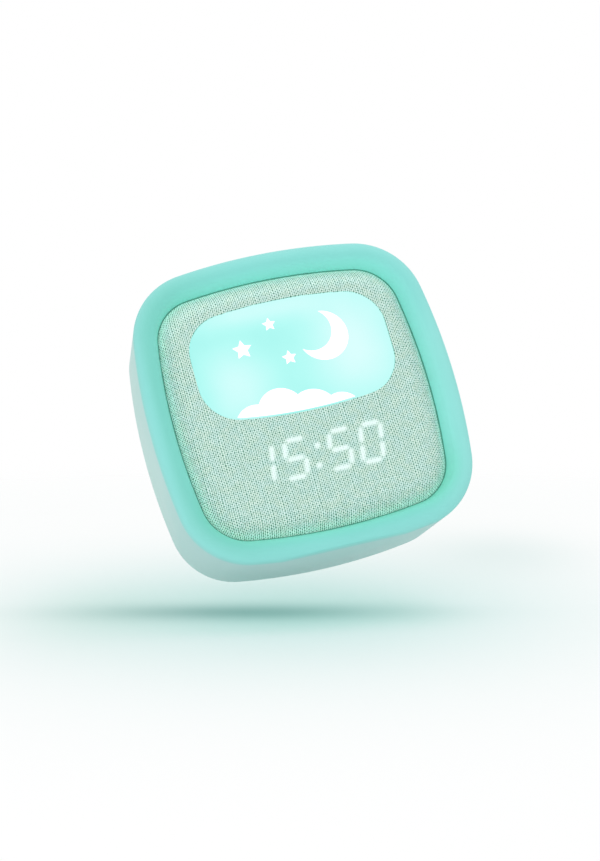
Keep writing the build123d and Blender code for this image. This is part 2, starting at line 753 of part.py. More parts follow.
def display_ribbon():
    """Flat cable from the digit block back to the main board."""
    start = (RIBBON_X, BLOCK_FRONT + BLOCK + BOARD, RIBBON_LOW)
    points = [start, *RIBBON_BENDS, (RIBBON_X, MAIN_FRONT, RIBBON_HIGH)]
    path = FilletPolyline(*points, radius=RIBBON_BEND)
    section = Plane(origin=start, x_dir=(1, 0, 0), z_dir=(0, 1, 0)) * Rectangle(RIBBON_WIDTH, RIBBON)
    return sweep(section, path=path)


def battery_leads():
    top = BATTERY_PLACE[1] + BATTERY_HALF[1]
    depth = battery_front() + BATTERY / 2
    plug = PLUG_PLACE[1] - PLUG_HALF[1]
    bend = (top + plug) / 2
    plug_depth = MAIN_FRONT - PLUG_HEIGHT / 2
    first = (depth, bend - LEAD_RADIUS)
    second = (plug_depth, bend + LEAD_RADIUS)
    return lead_pair(PLUG_PLACE[0], ((depth, top), first, second, (plug_depth, plug)))


def speaker_leads():
    depth = SPEAKER_BACK - LUG_INSET
    low = SPEAKER_PLACE[1] - SPEAKER_RADIUS - LUG_REACH
    return lead_pair(SPEAKER_PLACE[0], ((depth, low), (depth, SPEAKER_PAD), (MAIN_BACK, SPEAKER_PAD)))


def lamp_leads():
    start = BOX_BACK + BOARD
    third = (MAIN_FRONT - start) / 3
    first = (start + third, LAMP_LEAD_HIGH)
    second = (MAIN_FRONT - third, LAMP_LEAD_LOW)
    points = ((start, LAMP_LEAD_HIGH), first, second, (MAIN_FRONT, LAMP_LEAD_LOW))
    return lead_pair(0, points)


def key_leads():
    """Two leads from the small board under the light key down to the main board."""
    points = ((KEY_LEAD_DEPTH, LIGHT_BOARD_LOW), (KEY_LEAD_DEPTH, KEY_LEAD_LOW), (MAIN_FRONT, KEY_LEAD_LOW))
    return lead_pair(KEY_LEAD_X, points)


def battery_front():
    return MAIN_FRONT - BATTERY_PAD - BATTERY


def battery_cell():
    """Flat pouch cell with soft edges."""
    front = battery_front()
    cell = rounded_block(BATTERY_PLACE, BATTERY_HALF, BATTERY_CORNER, front, front + BATTERY)
    return cell


def battery_pad():
    """Foam tape that holds the cell to the main board."""
    half = (BATTERY_HALF[0] - BATTERY_CORNER, BATTERY_HALF[1] - BATTERY_CORNER)
    return brick(BATTERY_PLACE, half, MAIN_FRONT - BATTERY_PAD, MAIN_FRONT)


def battery_plug():
    return brick(PLUG_PLACE, PLUG_HALF, MAIN_FRONT - PLUG_HEIGHT, MAIN_FRONT)


# ---- keys, slider and switches -------------------------------------------------------------


def tact_switches():
    """Four push switches on the back of the main board, each with a well for its plunger."""
    bodies = []
    for place in KEY_PLACES.values():
        body = brick(place, (SWITCH_HALF, SWITCH_HALF), MAIN_BACK, MAIN_BACK + SWITCH_HEIGHT)
        well = MAIN_BACK + SWITCH_HEIGHT - PLUNGER_WELL
        bodies.append(body - peg(place, PLUNGER_RADIUS + PLUNGER_GAP, well, MAIN_BACK + SWITCH_HEIGHT))
    return joined(bodies)


def rear_plunger(place):
    """Plunger of a push switch, which moves with its key."""
    top = MAIN_BACK + SWITCH_HEIGHT + PLUNGER_PROUD
    return peg(place, PLUNGER_RADIUS, MAIN_BACK + SWITCH_HEIGHT - PLUNGER_SUNK, top)


def rear_key(place):
    """Round key with a bevelled edge, a dished face, a flange that keeps it in and a stem to its plunger."""
    flange_back = COVER_INSIDE - KEY_REST_GAP
    plunger_top = MAIN_BACK + SWITCH_HEIGHT + PLUNGER_PROUD
    face = COVER_FACE + KEY_PROUD
    cap = peg(place, KEY_RADIUS, flange_back - KEY_FLANGE, face)
    cap = chamfer(cap.faces().sort_by(Axis.Y)[-1].edges(), KEY_EDGE_BEVEL)
    dish = Pos(place[0], face + KEY_DISH_RADIUS - KEY_DISH, place[1]) * Sphere(KEY_DISH_RADIUS)
    flange = peg(place, KEY_FLANGE_RADIUS, flange_back - KEY_FLANGE, flange_back)
    stem = peg(place, PLUNGER_RADIUS, plunger_top, flange_back - KEY_FLANGE)
    return joined([cap, flange, stem]) - dish


def light_key():
    """Long key in the top of the sleeve, crowned like the wall round it, with a flange and stem."""
    crown = slab(case_shape(wall_inset(CASE_FRONT) - LIGHT_KEY_PROUD), CASE_FRONT, CASE_BACK, CASE_DRAFT)
    cap = light_key_bar(0, LIGHT_KEY_LOW) & crown
    cap = fillet(cap.faces().sort_by(Axis.Z)[-1].edges(), LIGHT_KEY_EDGE_ROUND)
    long = 2 * (LIGHT_KEY_HALF_LENGTH + LIGHT_KEY_FLANGE_WIDTH)
    wide = 2 * (LIGHT_KEY_HALF_WIDTH + LIGHT_KEY_FLANGE_WIDTH)
    flange = Pos(0, 0, LIGHT_KEY_LOW) * extrude(SlotOverall(long, wide), -LIGHT_KEY_FLANGE)
    plunger_top = LIGHT_SWITCH_BASE + SWITCH_HEIGHT + PLUNGER_PROUD
    stem_height = LIGHT_KEY_LOW - LIGHT_KEY_FLANGE - plunger_top
    stem = Pos(0, 0, plunger_top) * extrude(Circle(PLUNGER_RADIUS), stem_height)
    return joined([cap, flange, stem])


def light_switch():
    low = LIGHT_SWITCH_BASE
    body = Pos(0, 0, low) * extrude(Rectangle(2 * SWITCH_HALF, 2 * SWITCH_HALF), SWITCH_HEIGHT)
    well = extrude(Circle(PLUNGER_RADIUS + PLUNGER_GAP), PLUNGER_WELL)
    return body - Pos(0, 0, low + SWITCH_HEIGHT - PLUNGER_WELL) * well


def light_plunger():
    low = LIGHT_SWITCH_BASE + SWITCH_HEIGHT - PLUNGER_SUNK
    return Pos(0, 0, low) * extrude(Circle(PLUNGER_RADIUS), PLUNGER_SUNK + PLUNGER_PROUD)


def light_switch_board():
    half_x, half_y = LIGHT_BOARD_HALF
    return Pos(0, 0, LIGHT_BOARD_LOW) * extrude(Rectangle(2 * half_x, 2 * half_y), BOARD)


def alarm_switch():
    """Slide switch body on the main board, slotted for the slider's neck."""
    half = (SLIDER_BODY[0] / 2, SLIDER_BODY[1] / 2)
    back = MAIN_BACK + SLIDER_BODY_HEIGHT
    slot = (SLIDER_NECK[0] / 2 + SLIDER_TRAVEL / 2 + SLIDER_GAP, SLIDER_NECK[1] / 2 + SLIDER_GAP)
    return brick(SLIDER_PLACE, half, MAIN_BACK, back) - brick(SLIDER_PLACE, slot, back - SLIDER_WELL, back)


def alarm_slider():
    """Finger pad with grip ridges on a neck that reaches down into the switch; drawn switched off."""
    place = (SLIDER_PLACE[0] - SLIDER_TRAVEL / 2, SLIDER_PLACE[1])
    pad_half = (SLIDER_PAD[0] / 2, SLIDER_PAD[1] / 2)
    neck_half = (SLIDER_NECK[0] / 2, SLIDER_NECK[1] / 2)
    pad_front = SLIDER_RECESS_FLOOR + SLIDER_LIFT
    pad = rounded_block(place, pad_half, SLIDER_CORNER, pad_front, COVER_FACE + SLIDER_PROUD)
    neck_front = MAIN_BACK + SLIDER_BODY_HEIGHT - SLIDER_WELL + SLIDER_GAP
    slider = pad + brick(place, neck_half, neck_front, pad_front)
    for step in range(-RIDGES // 2 + 1, RIDGES // 2 + 1):
        groove = (place[0] + step * RIDGE_PITCH, place[1])
        half = (RIDGE_PITCH / 4, SLIDER_PAD[1])
        slider -= brick(groove, half, COVER_FACE + SLIDER_PROUD - RIDGE, COVER_FACE + SLIDER_PROUD)
    return slider


# ---- socket, speaker and screws ------------------------------------------------------------


def usb_shell():
    """Flattened metal tube of the socket, open towards the back."""
    outer = rounded_block(USB_PLACE, USB_HALF, USB_CORNER, MAIN_BACK, USB_MOUTH)
    inner = (USB_HALF[0] - USB_WALL, USB_HALF[1] - USB_WALL)
    return outer - rounded_block(USB_PLACE, inner, USB_CORNER - USB_WALL, MAIN_BACK, USB_MOUTH)


def usb_tongue():
    """Plastic base of the socket with the tongue that carries its contacts."""
    base_half = (USB_HALF[0] - USB_WALL, USB_HALF[1] - USB_WALL)
    base = rounded_block(USB_PLACE, base_half, USB_CORNER - USB_WALL, MAIN_BACK, MAIN_BACK + USB_BASE)
    return base + brick(USB_PLACE, USB_TONGUE, MAIN_BACK, USB_MOUTH - USB_TONGUE_SUNK)


def turned(points):
    """A section in radius and depth, turned round the speaker's axis."""
    body = revolve(make_face(Polyline(*points, close=True)), Axis.Y)
    return Pos(SPEAKER_PLACE[0], 0, SPEAKER_PLACE[1]) * body


def speaker_frame():
    """Shallow pressed basket with a flat rim and a solder lug."""
    back = SPEAKER_BACK
    front = back - SPEAKER_DEPTH
    rim = SPEAKER_RADIUS
    sheet = SPEAKER_SHEET
    points = (
        (rim - SPEAKER_RIM, back),
        (rim, back),
        (rim, back - SPEAKER_RIM),
        (SPEAKER_CUP_RADIUS, front),
        (MAGNET_HOLE_RADIUS, front),
        (MAGNET_HOLE_RADIUS, front + sheet),
        (SPEAKER_CUP_RADIUS - sheet / 2, front + sheet),
        (rim - SPEAKER_RIM, back - SPEAKER_RIM + sheet / 2),
    )
    lug_place = (SPEAKER_PLACE[0], SPEAKER_PLACE[1] - rim - LUG_REACH + LUG_HALF[1])
    lug = brick(lug_place, LUG_HALF, back - 2 * LUG_INSET, back)
    return turned(points) + lug


def speaker_cone():
    """Thin cone with a rolled edge and a dust cap."""
    back = SPEAKER_BACK
    rim = SPEAKER_RADIUS - SPEAKER_RIM - CONE_SHEET
    points = (
        (rim, back),
        (rim, back - CONE_SHEET),
        (CAP_RADIUS, back - CONE_DEPTH),
        (0, back - CONE_DEPTH),
        (0, back - CONE_DEPTH + CAP_RISE),
        (CAP_RADIUS, back - CONE_DEPTH + CONE_SHEET),
    )
    return turned(points)


def speaker_magnet():
    front = SPEAKER_BACK - SPEAKER_DEPTH
    return peg(SPEAKER_PLACE, MAGNET_RADIUS, front - MAGNET, front)


def speaker_gasket():
    """Foam ring between the speaker's rim and the cover."""
    ring = peg(SPEAKER_PLACE, SPEAKER_RADIUS, SPEAKER_BACK, COVER_INSIDE)
    return ring - peg(SPEAKER_PLACE, SPEAKER_RADIUS - SPEAKER_RIM, SPEAKER_BACK, COVER_INSIDE)


def screw(place, seat, length, outward):
    """Pan-head screw along Y with a cross recess; outward is 1 towards the back, -1 towards the front."""
    head = peg(place, SCREW_HEAD_RADIUS, *sorted((seat, seat + outward * SCREW_HEAD)))
    shank = peg(place, SCREW_RADIUS, *sorted((seat, seat - outward * length)))
    face = seat + outward * SCREW_HEAD
    recess = sorted((face, face - outward * CROSS_DEPTH))
    level = brick(place, (CROSS_HALF, CROSS_WIDTH), *recess)
    upright = brick(place, (CROSS_WIDTH, CROSS_HALF), *recess)
    return head + shank - level - upright


def rear_screws():
    return joined([screw(place, SINK_FLOOR, SCREW_LENGTH, 1) for place in post_places()])


def board_screws():
    return joined([screw(place, MAIN_FRONT, BOARD_SCREW_LENGTH, -1) for place in MAIN_HOLES])


PIECES = {
    "sleeve": sleeve,
    "front_shell": front_shell,
    "rear_cover": rear_cover,
    "fabric_cover": fabric_cover,
    "fabric_carrier": fabric_carrier,
    "window_lens": window_lens,
    "window_print": window_print,
    "light_box": light_box,
    "lamp_board": lamp_board,
    "lamp_leds": lamp_leds,
    "digit_block": digit_block,
    "digits_lit": digits_lit,
    "digits_dark": digits_dark,
    "display_board": display_board,
    "display_chips": display_chips,
    "display_ribbon": display_ribbon,
    "main_board": main_board,
    "board_chips": board_chips,
    "tact_switches": tact_switches,
    "light_key": light_key,
    "light_switch": light_switch,
    "light_plunger": light_plunger,
    "light_switch_board": light_switch_board,
    "alarm_switch": alarm_switch,
    "alarm_slider": alarm_slider,
    "usb_shell": usb_shell,
    "usb_tongue": usb_tongue,
    "speaker_frame": speaker_frame,
    "speaker_cone": speaker_cone,
    "speaker_magnet": speaker_magnet,
    "speaker_gasket": speaker_gasket,
    "battery_cell": battery_cell,
    "battery_pad": battery_pad,
    "battery_plug": battery_plug,
    "battery_leads": battery_leads,
    "speaker_leads": speaker_leads,
    "lamp_leads": lamp_leads,
    "key_leads": key_leads,
    "rear_screws": rear_screws,
    "board_screws": board_screws,
}


def write(node, piece):
    """Lift a piece so that the case stands on z=0, and save it under its node's name."""
    export_step(Pos(0, 0, CENTRE_HEIGHT) * piece, f"parts/{node}.step")


os.makedirs("parts", exist_ok=True)
for node, make in PIECES.items():
    write(node, make())
for name, place in KEY_PLACES.items():
    write(f"{name}_key", rear_key(place))
    write(f"{name}_plunger", rear_plunger(place))
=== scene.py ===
"""Square bedside clock with a night light: the finish of every surface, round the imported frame."""
import math
from collections import namedtuple

import bpy
import numpy as np
from mathutils import Matrix, Vector


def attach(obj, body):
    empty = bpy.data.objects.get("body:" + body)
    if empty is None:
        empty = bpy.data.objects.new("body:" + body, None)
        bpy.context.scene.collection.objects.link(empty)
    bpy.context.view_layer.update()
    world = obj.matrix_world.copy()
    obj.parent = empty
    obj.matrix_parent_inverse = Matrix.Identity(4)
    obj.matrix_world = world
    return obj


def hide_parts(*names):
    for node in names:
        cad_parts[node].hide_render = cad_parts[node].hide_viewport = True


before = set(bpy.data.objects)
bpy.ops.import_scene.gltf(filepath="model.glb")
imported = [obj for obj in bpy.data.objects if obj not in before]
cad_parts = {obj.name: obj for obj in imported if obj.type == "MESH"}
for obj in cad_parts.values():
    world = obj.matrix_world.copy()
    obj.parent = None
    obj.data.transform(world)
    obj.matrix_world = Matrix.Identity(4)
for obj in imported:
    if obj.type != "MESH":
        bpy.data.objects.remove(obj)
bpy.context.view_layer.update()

MM = 0.001

# ---- sizes in millimetres: the front from the middle of the square, depth growing to the back -
Outline = namedtuple("Outline", "half_width half_height side_radius top_radius corner_radius")
CASE = Outline(50.0, 50.0, 194.6, 194.6, 22.3)
PANEL = Outline(41.8, 41.8, 192.0, 192.0, 14.3)
WINDOW = Outline(32.2, 18.8, 420.0, 152.7, 12.6)
WINDOW_HEIGHT = 14.3
WINDOW_GAP = 0.15
CENTRE_HEIGHT = 48.9         # above the flat underside

CASE_FRONT = -20.0
CASE_BACK = 20.0
CASE_DRAFT = math.radians(3.4)
SLEEVE_WALL = 2.4
RIM_OUTER_ROUND = 4.1
RIM_INNER_ROUND = 2.5
RIM_OPENING_HALF = 42.1
RIM_OPENING_DRAFT = math.radians(16.0)
RIM_SEAT = -13.6
BACK_ROUND = 6.0
BACK_LIP_HALF = 41.2
BACK_LIP = 2.2
LIP_EDGE_ROUND = 0.6
LIP_FOOT_ROUND = 0.2
SEAT_ROUND = 0.3
SECTION_ARC_STEP = math.radians(7.5)
SECTION_RUN_STEP = 0.7
KEY_SLOT_HALF_LENGTH = 13.4  # opening for the light key in the top of the sleeve
KEY_SLOT_HALF_WIDTH = 4.6
SLEEVE_COLUMNS = 620
LEAST_UPRIGHT = 0.5          # the wall's normal points up at least this much round the light key

PANEL_FRONT = -18.8
PANEL_ROUND = 8.0
FABRIC = 0.7
WARP_PITCH = 0.646           # upright threads
WEFT_PITCH = 0.564           # level threads
WEAVE_RELIEF = 0.08
YARN_WANDER = 0.35           # how far threads stray sideways, in pitches
WANDER_ACROSS, WANDER_ALONG = 3.0, 8.0   # pitches over which they stray

DIGIT_CENTRE = (-1.0, -18.75)
DIGIT_OFFSETS = (-18.1, -7.3, 7.3, 17.7)
DIGIT_HALF_WIDTH = 3.3
DIGIT_HALF_HEIGHT = 6.0
DIGIT_SLANT = math.tan(math.radians(10.0))
BAR_HALF = 0.62
BAR_GAP = 0.35
COLON_LEVEL = -0.6
COLON_HALF_HEIGHT = 3.2
COLON_RADIUS = 0.75
SHOWN = ("bc", "afgcd", "afgcd", "abcdef")   # bars that are on, digit by digit
GLOW_EDGE = 0.95             # width over which a lit bar fades into the cloth
GLOW_SPREAD = 0.17           # how far the light spreads past the bar
GLOW_TIP = 0.20              # how much earlier it fades at the pointed ends


# ---- shapes as arrays ------------------------------------------------------------------------


def arc_centres(shape):
    """Centres of an outline's side, top and corner arcs, and the angles at which they meet.

    The corner's centre lies where two circles cross: each goes round the centre of one of the
    other arcs, with that arc's radius less the corner's."""
    side_x = shape.half_width - shape.side_radius
    top_z = shape.half_height - shape.top_radius
    side_reach = shape.side_radius - shape.corner_radius
    top_reach = shape.top_radius - shape.corner_radius
    apart = math.hypot(side_x, top_z)
    along = (side_reach**2 - top_reach**2 + apart**2) / (2 * apart)
    across = math.sqrt(side_reach**2 - along**2)
    toward_x, toward_z = -side_x / apart, top_z / apart
    corner_x = side_x + toward_x * along - toward_z * across
    corner_z = toward_z * along + toward_x * across
    side_end = math.atan2(corner_z, corner_x - side_x)
    top_start = math.atan2(corner_z - top_z, corner_x)
    return side_x, top_z, corner_x, corner_z, side_end, top_start


def inset(shape, amount):
    """The same outline drawn in evenly: every arc keeps its centre and loses that radius."""
    return Outline(*(value - amount for value in shape))


def trace(shape, count):
    """Points and outward normals round an outline, evenly spaced by length.

    Each of nine tangent arcs is centre + radius * (cos a, sin a), with a growing evenly."""
    side_x, top_z, corner_x, corner_z, side_end, top_start = arc_centres(shape)
    turn = top_start - side_end
    quarter = math.pi / 2
    arcs = np.array([
        (side_x, 0, shape.side_radius, 0, side_end),
        (corner_x, corner_z, shape.corner_radius, side_end, turn),
        (0, top_z, shape.top_radius, top_start, 2 * (quarter - top_start)),
        (-corner_x, corner_z, shape.corner_radius, 2 * quarter - top_start, turn),
        (-side_x, 0, shape.side_radius, 2 * quarter - side_end, 2 * side_end),
        (-corner_x, -corner_z, shape.corner_radius, 2 * quarter + side_end, turn),
        (0, -top_z, shape.top_radius, 2 * quarter + top_start, 2 * (quarter - top_start)),
        (corner_x, -corner_z, shape.corner_radius, 4 * quarter - top_start, turn),
        (side_x, 0, shape.side_radius, 4 * quarter - side_end, side_end),
    ])
    ends = np.cumsum(arcs[:, 2] * arcs[:, 4])
    along = np.arange(count) * ends[-1] / count
    which = np.searchsorted(ends, along, side="right")
    arc = arcs[which]
    start = ends[which] - arc[:, 2] * arc[:, 4]
    angle = arc[:, 3] + (along - start) / arc[:, 2]
    normal = np.stack([np.cos(angle), np.sin(angle)], axis=-1)
    return arc[:, :2] + arc[:, 2:3] * normal, normal


def reach(shape, x, z):
    """How far points lie beyond an outline, negative inside, and the outward direction there.

    The nearest arc is the side's, the top's or the corner's, by the angle from its centre."""
    side_x, top_z, corner_x, corner_z, side_end, top_start = arc_centres(shape)
    near_x, near_z = np.abs(x), np.abs(z)
    on_side = np.arctan2(near_z, near_x - side_x) < side_end
    on_top = ~on_side & (np.arctan2(near_z - top_z, near_x) > top_start)
    centre_x = np.where(on_side, side_x, np.where(on_top, 0, corner_x))
    centre_z = np.where(on_side, 0, np.where(on_top, top_z, corner_z))
    radius = np.where(on_side, shape.side_radius, np.where(on_top, shape.top_radius, shape.corner_radius))
    away_x, away_z = near_x - centre_x, near_z - centre_z
    far = np.maximum(np.hypot(away_x, away_z), 1e-9)
    return far - radius, away_x / far * np.sign(x), away_z / far * np.sign(z)


def slot_reach(x, y, half_length, half_width):
    """How far points lie beyond a round-ended slot, and the outward direction there.

    It is the distance from the slot's middle line, less half the slot's width."""
    past = np.sign(x) * np.maximum(np.abs(x) - (half_length - half_width), 0)
    far = np.maximum(np.hypot(past, y), 1e-9)
    return far - half_width, past / far, y / far


def rounded_path(corners, radii, arc_step, run_step):
    """A closed path with each corner replaced by the arc that is tangent to its two runs."""
    corners = np.asarray(corners, float)
    before, after = np.roll(corners, 1, axis=0), np.roll(corners, -1, axis=0)
    points = []
    for here, last, following, radius in zip(corners, before, after, radii):
        into = (here - last) / np.linalg.norm(here - last)
        out = (following - here) / np.linalg.norm(following - here)
        turn = math.atan2(into[0] * out[1] - into[1] * out[0], into @ out)
        side = math.copysign(1.0, turn)
        normal = side * np.array([-into[1], into[0]])
        centre = here - into * radius * math.tan(abs(turn) / 2) + normal * radius
        steps = max(1, round(abs(turn) / arc_step)) if radius else 0
        angle = np.linspace(0, turn, steps + 1)[:, None]
        spoke = -normal * radius
        points.append(centre + spoke * np.cos(angle) + np.array([-spoke[1], spoke[0]]) * np.sin(angle))
    return stepped(np.concatenate(points), run_step)


def stepped(points, longest):
    """The closed path with each run cut into equal steps, none over the longest."""
    run = np.roll(points, -1, axis=0) - points
    steps = np.maximum(np.ceil(np.linalg.norm(run, axis=1) / longest), 1).astype(int)
    index = np.arange(steps.sum()) - np.repeat(np.cumsum(steps) - steps, steps)
    share = index[:, None] / np.repeat(steps, steps)[:, None]
    return np.repeat(points, steps, axis=0) + np.repeat(run, steps, axis=0) * share


def path_length(path):
    """Length along a path up to each of its points."""
    return np.concatenate([[0], np.cumsum(np.linalg.norm(np.diff(path, axis=0), axis=1))])


def cells(rows, columns, closed=False):
    """Corner indices of the four-sided cells of a grid, row by row, or of one closed both ways."""
    row = np.arange(rows if closed else rows - 1)[:, None]
    column = np.arange(columns if closed else columns - 1)[None, :]
    next_row, next_column = (row + 1) % rows, (column + 1) % columns
    corners = (row * columns + column, row * columns + next_column,
               next_row * columns + next_column, next_row * columns + column)
    return np.stack(np.broadcast_arrays(*corners), axis=-1).reshape(-1, 4)


def border_edges(quads):
    """Edges that only one cell uses, in that cell's direction."""
    edges = np.concatenate([quads[:, [i, (i + 1) % 4]] for i in range(4)])
    _, first, uses = np.unique(np.sort(edges, axis=1), axis=0, return_index=True, return_counts=True)
    return edges[first[uses == 1]]


def strip_cells(edges, total):
    """Cells from border edges to the same edges in a second copy of the points."""
    start, end = edges[:, 0], edges[:, 1]
    return np.stack([end, start, start + total, end + total], axis=-1)


def mesh_piece(name, points, quads, layers):
    """A smooth mesh object from points in millimetres, with one attribute for each layer."""
    used, where = np.unique(quads, return_inverse=True)
    quads = where.reshape(quads.shape)
    place = (points[used] + np.array([0, 0, CENTRE_HEIGHT])) * MM
    mesh = bpy.data.meshes.new(name)
    mesh.vertices.add(len(place))
    mesh.vertices.foreach_set("co", place.astype(np.float32).ravel())
    mesh.loops.add(quads.size)
    mesh.loops.foreach_set("vertex_index", quads.astype(np.int32).ravel())
    mesh.polygons.add(len(quads))
    mesh.polygons.foreach_set("loop_start", np.arange(0, quads.size, 4, dtype=np.int32))
    mesh.update(calc_edges=True)
    mesh.validate()
    for key, values in layers.items():
        values = values[used].astype(np.float32)
        kind = "FLOAT_VECTOR" if values.ndim == 2 else "FLOAT"
        layer = mesh.attributes.new(key, kind, "POINT")
        layer.data.foreach_set("vector" if values.ndim == 2 else "value", values.ravel())
    mesh.polygons.foreach_set("use_smooth", np.ones(len(mesh.polygons), bool))
    piece = bpy.data.objects.new(name, mesh)
    bpy.context.scene.collection.objects.link(piece)
    return piece


# ---- pieces ----------------------------------------------------------------------------------


def wall_inset(depth):
    """How far the outer wall has drawn in at a depth: the depth past the widest line of the case
    times the tangent of the draft."""
    return (depth - CASE_FRONT - RIM_OUTER_ROUND) * math.tan(CASE_DRAFT)


def sleeve_section():
    """The sleeve's closed section as distance in from the widest outline, and depth."""
    inner_front = wall_inset(RIM_SEAT) + SLEEVE_WALL
    turn = BACK_ROUND - SLEEVE_WALL
    turn_depth = CASE_BACK - BACK_LIP - turn
    inner_back = wall_inset(turn_depth) + SLEEVE_WALL
    opening = CASE.half_width - RIM_OPENING_HALF
    flare = (RIM_SEAT - CASE_FRONT) * math.tan(RIM_OPENING_DRAFT)
    lip = CASE.half_width - BACK_LIP_HALF
    corners = (
        (opening, RIM_SEAT),
        (opening - flare, CASE_FRONT),
        (wall_inset(CASE_FRONT), CASE_FRONT),
        (wall_inset(CASE_BACK), CASE_BACK),
        (lip, CASE_BACK),
        (lip, CASE_BACK - BACK_LIP),
        (inner_back + turn, CASE_BACK - BACK_LIP),
        (inner_back, turn_depth),
        (inner_front, RIM_SEAT),
    )
    radii = (SEAT_ROUND, RIM_INNER_ROUND, RIM_OUTER_ROUND, BACK_ROUND, LIP_EDGE_ROUND, LIP_FOOT_ROUND)
    radii += (0,) * (len(corners) - len(radii))
    return rounded_path(corners, radii, SECTION_ARC_STEP, SECTION_RUN_STEP)


def sleeve():
    """Point (s, t) = outline(s) - inset(t) * normal(s), at depth(t), cut flat at the underside.

    The light key's opening leaves out the cells inside its slot. Points inside it that are
    left in use are moved along the wall on to the slot's edge, on the outer and the inner wall
    alike, and a strip of cells runs from each edge to the middle of the wall."""
    section = sleeve_section()
    line, normal = trace(CASE, SLEEVE_COLUMNS)
    rows, columns = len(section), len(line)
    inward, depth = section[:, :1], section[:, 1:]
    x = line[:, 0] - inward * normal[:, 0]
    z = np.maximum(line[:, 1] - inward * normal[:, 1], -CENTRE_HEIGHT)
    y = np.broadcast_to(depth, x.shape)
    beyond, out_x, out_y = slot_reach(x, y, KEY_SLOT_HALF_LENGTH, KEY_SLOT_HALF_WIDTH)
    inside = (beyond < 0) & (z > 0)
    back = np.where(inside, -beyond, 0)
    climb = -back * out_x * normal[:, 0] / normal[:, 1].clip(LEAST_UPRIGHT)
    points = np.stack([x + back * out_x, y + back * out_y, z + climb], axis=-1).reshape(-1, 3)
    quads = cells(rows, columns, closed=True)[:, ::-1]
    quads = quads[~inside.ravel()[quads].all(axis=1)]
    outer = inward - wall_inset(depth) < SLEEVE_WALL / 2
    into_wall = np.where(outer, -SLEEVE_WALL / 2, SLEEVE_WALL / 2) * normal[:, 1]
    middle = points + np.stack([0 * x, 0 * x, into_wall], axis=-1).reshape(-1, 3)
    strip = strip_cells(border_edges(quads), rows * columns)
    across = np.tile(np.repeat(path_length(section), columns), 2)
    points, quads = np.concatenate([points, middle]), np.concatenate([quads, strip])
    piece = mesh_piece("sleeve_skin", points, quads, {"across": across})
    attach(piece, "clock")
    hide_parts("sleeve")
    return piece


def bar_frames():
    """Middle, half length and direction of the seven bars of a digit."""
    flat = DIGIT_HALF_WIDTH - BAR_GAP
    tall = DIGIT_HALF_HEIGHT / 2 - BAR_GAP
    wide, high = DIGIT_HALF_WIDTH, DIGIT_HALF_HEIGHT
    return {
        "a": (0, high, flat, True),
        "b": (wide, high / 2, tall, False),
        "c": (wide, -high / 2, tall, False),
        "d": (0, -high, flat, True),
        "e": (-wide, -high / 2, tall, False),
        "f": (-wide, high / 2, tall, False),
        "g": (0, 0, flat, True),
    }


def beyond_digits(x, z):
    """Distance of points beyond the nearest lit bar or dot, negative inside.

    A pointed bar is |across| < half width and |along| + |across| < half length, before it
    leans over; a dot is a circle."""
    upright = z - DIGIT_CENTRE[1]
    leaned = x - DIGIT_CENTRE[0] - upright * DIGIT_SLANT
    nearest = np.full(x.shape, 1e3)
    frames = bar_frames()
    for digit_x, shown in zip(DIGIT_OFFSETS, SHOWN):
        for name in shown:
            middle_x, middle_z, half_length, level = frames[name]
            along, across = leaned - digit_x - middle_x, upright - middle_z
            if not level:
                along, across = across, along
            tip = (np.abs(along) + np.abs(across) - half_length) / math.sqrt(2)
            nearest = np.minimum(nearest, np.maximum(np.abs(across) - BAR_HALF, tip + GLOW_TIP))
    for side in (-1, 1):
        height = COLON_LEVEL + side * COLON_HALF_HEIGHT
        nearest = np.minimum(nearest, np.hypot(leaned, upright - height) - COLON_RADIUS)
    return nearest


def drifting(u, v, seed):
    """Smooth random field between -1 and 1: random values on a lattice, blended with 3t^2 - 2t^3."""
    column, row = np.floor(u).astype(int), np.floor(v).astype(int)
    lattice = np.random.default_rng(seed).uniform(-1, 1, (np.ptp(row) + 2, np.ptp(column) + 2))
    part_u, part_v = u - column, v - row
    blend_u, blend_v = part_u**2 * (3 - 2 * part_u), part_v**2 * (3 - 2 * part_v)
    column, row = column - column.min(), row - row.min()
    low = lattice[row, column] * (1 - blend_u) + lattice[row, column + 1] * blend_u
    high = lattice[row + 1, column] * (1 - blend_u) + lattice[row + 1, column + 1] * blend_u
    return low * (1 - blend_v) + high * blend_v


def weave_height(u, v):
    """Height of a plain weave at u and v pitches, from -1 where a yarn dives to 1 where it rises.

    It is minus the cosine of half a turn for each pitch of u, times the same of v."""
    return -np.cos(math.pi * u) * np.cos(math.pi * v)


EDGE_TURN = math.acos(1 - (RIM_SEAT - PANEL_FRONT) / PANEL_ROUND)
TURN_LINE = inset(PANEL, PANEL_ROUND * math.sin(EDGE_TURN))   # where the cloth begins to turn back
TURNED = PANEL_ROUND * EDGE_TURN                              # cloth past that line
HOLE = inset(WINDOW, -WINDOW_GAP)


def cloth_grid():
    """Flat points half a pitch apart, and the sides that reach past the turned edge."""
    longest = 2 * (TURN_LINE.half_width + TURNED)
    columns, rows = (math.ceil(longest / pitch) + 1 for pitch in (WARP_PITCH, WEFT_PITCH))
    across = np.arange(-columns, columns + 1) * WARP_PITCH / 2
    up = np.arange(-rows, rows + 1) * WEFT_PITCH / 2
    return np.meshgrid(across, up)


def thread_count(x, z):
    """Place in pitches across both sets of threads, each pushed aside by a smooth random drift."""
    warp, weft = x / WARP_PITCH, z / WEFT_PITCH
    u = warp + YARN_WANDER * drifting(warp / WANDER_ACROSS, weft / WANDER_ALONG, seed=1)
    v = weft + YARN_WANDER * drifting(warp / WANDER_ALONG, weft / WANDER_ACROSS, seed=2)
    return u, v


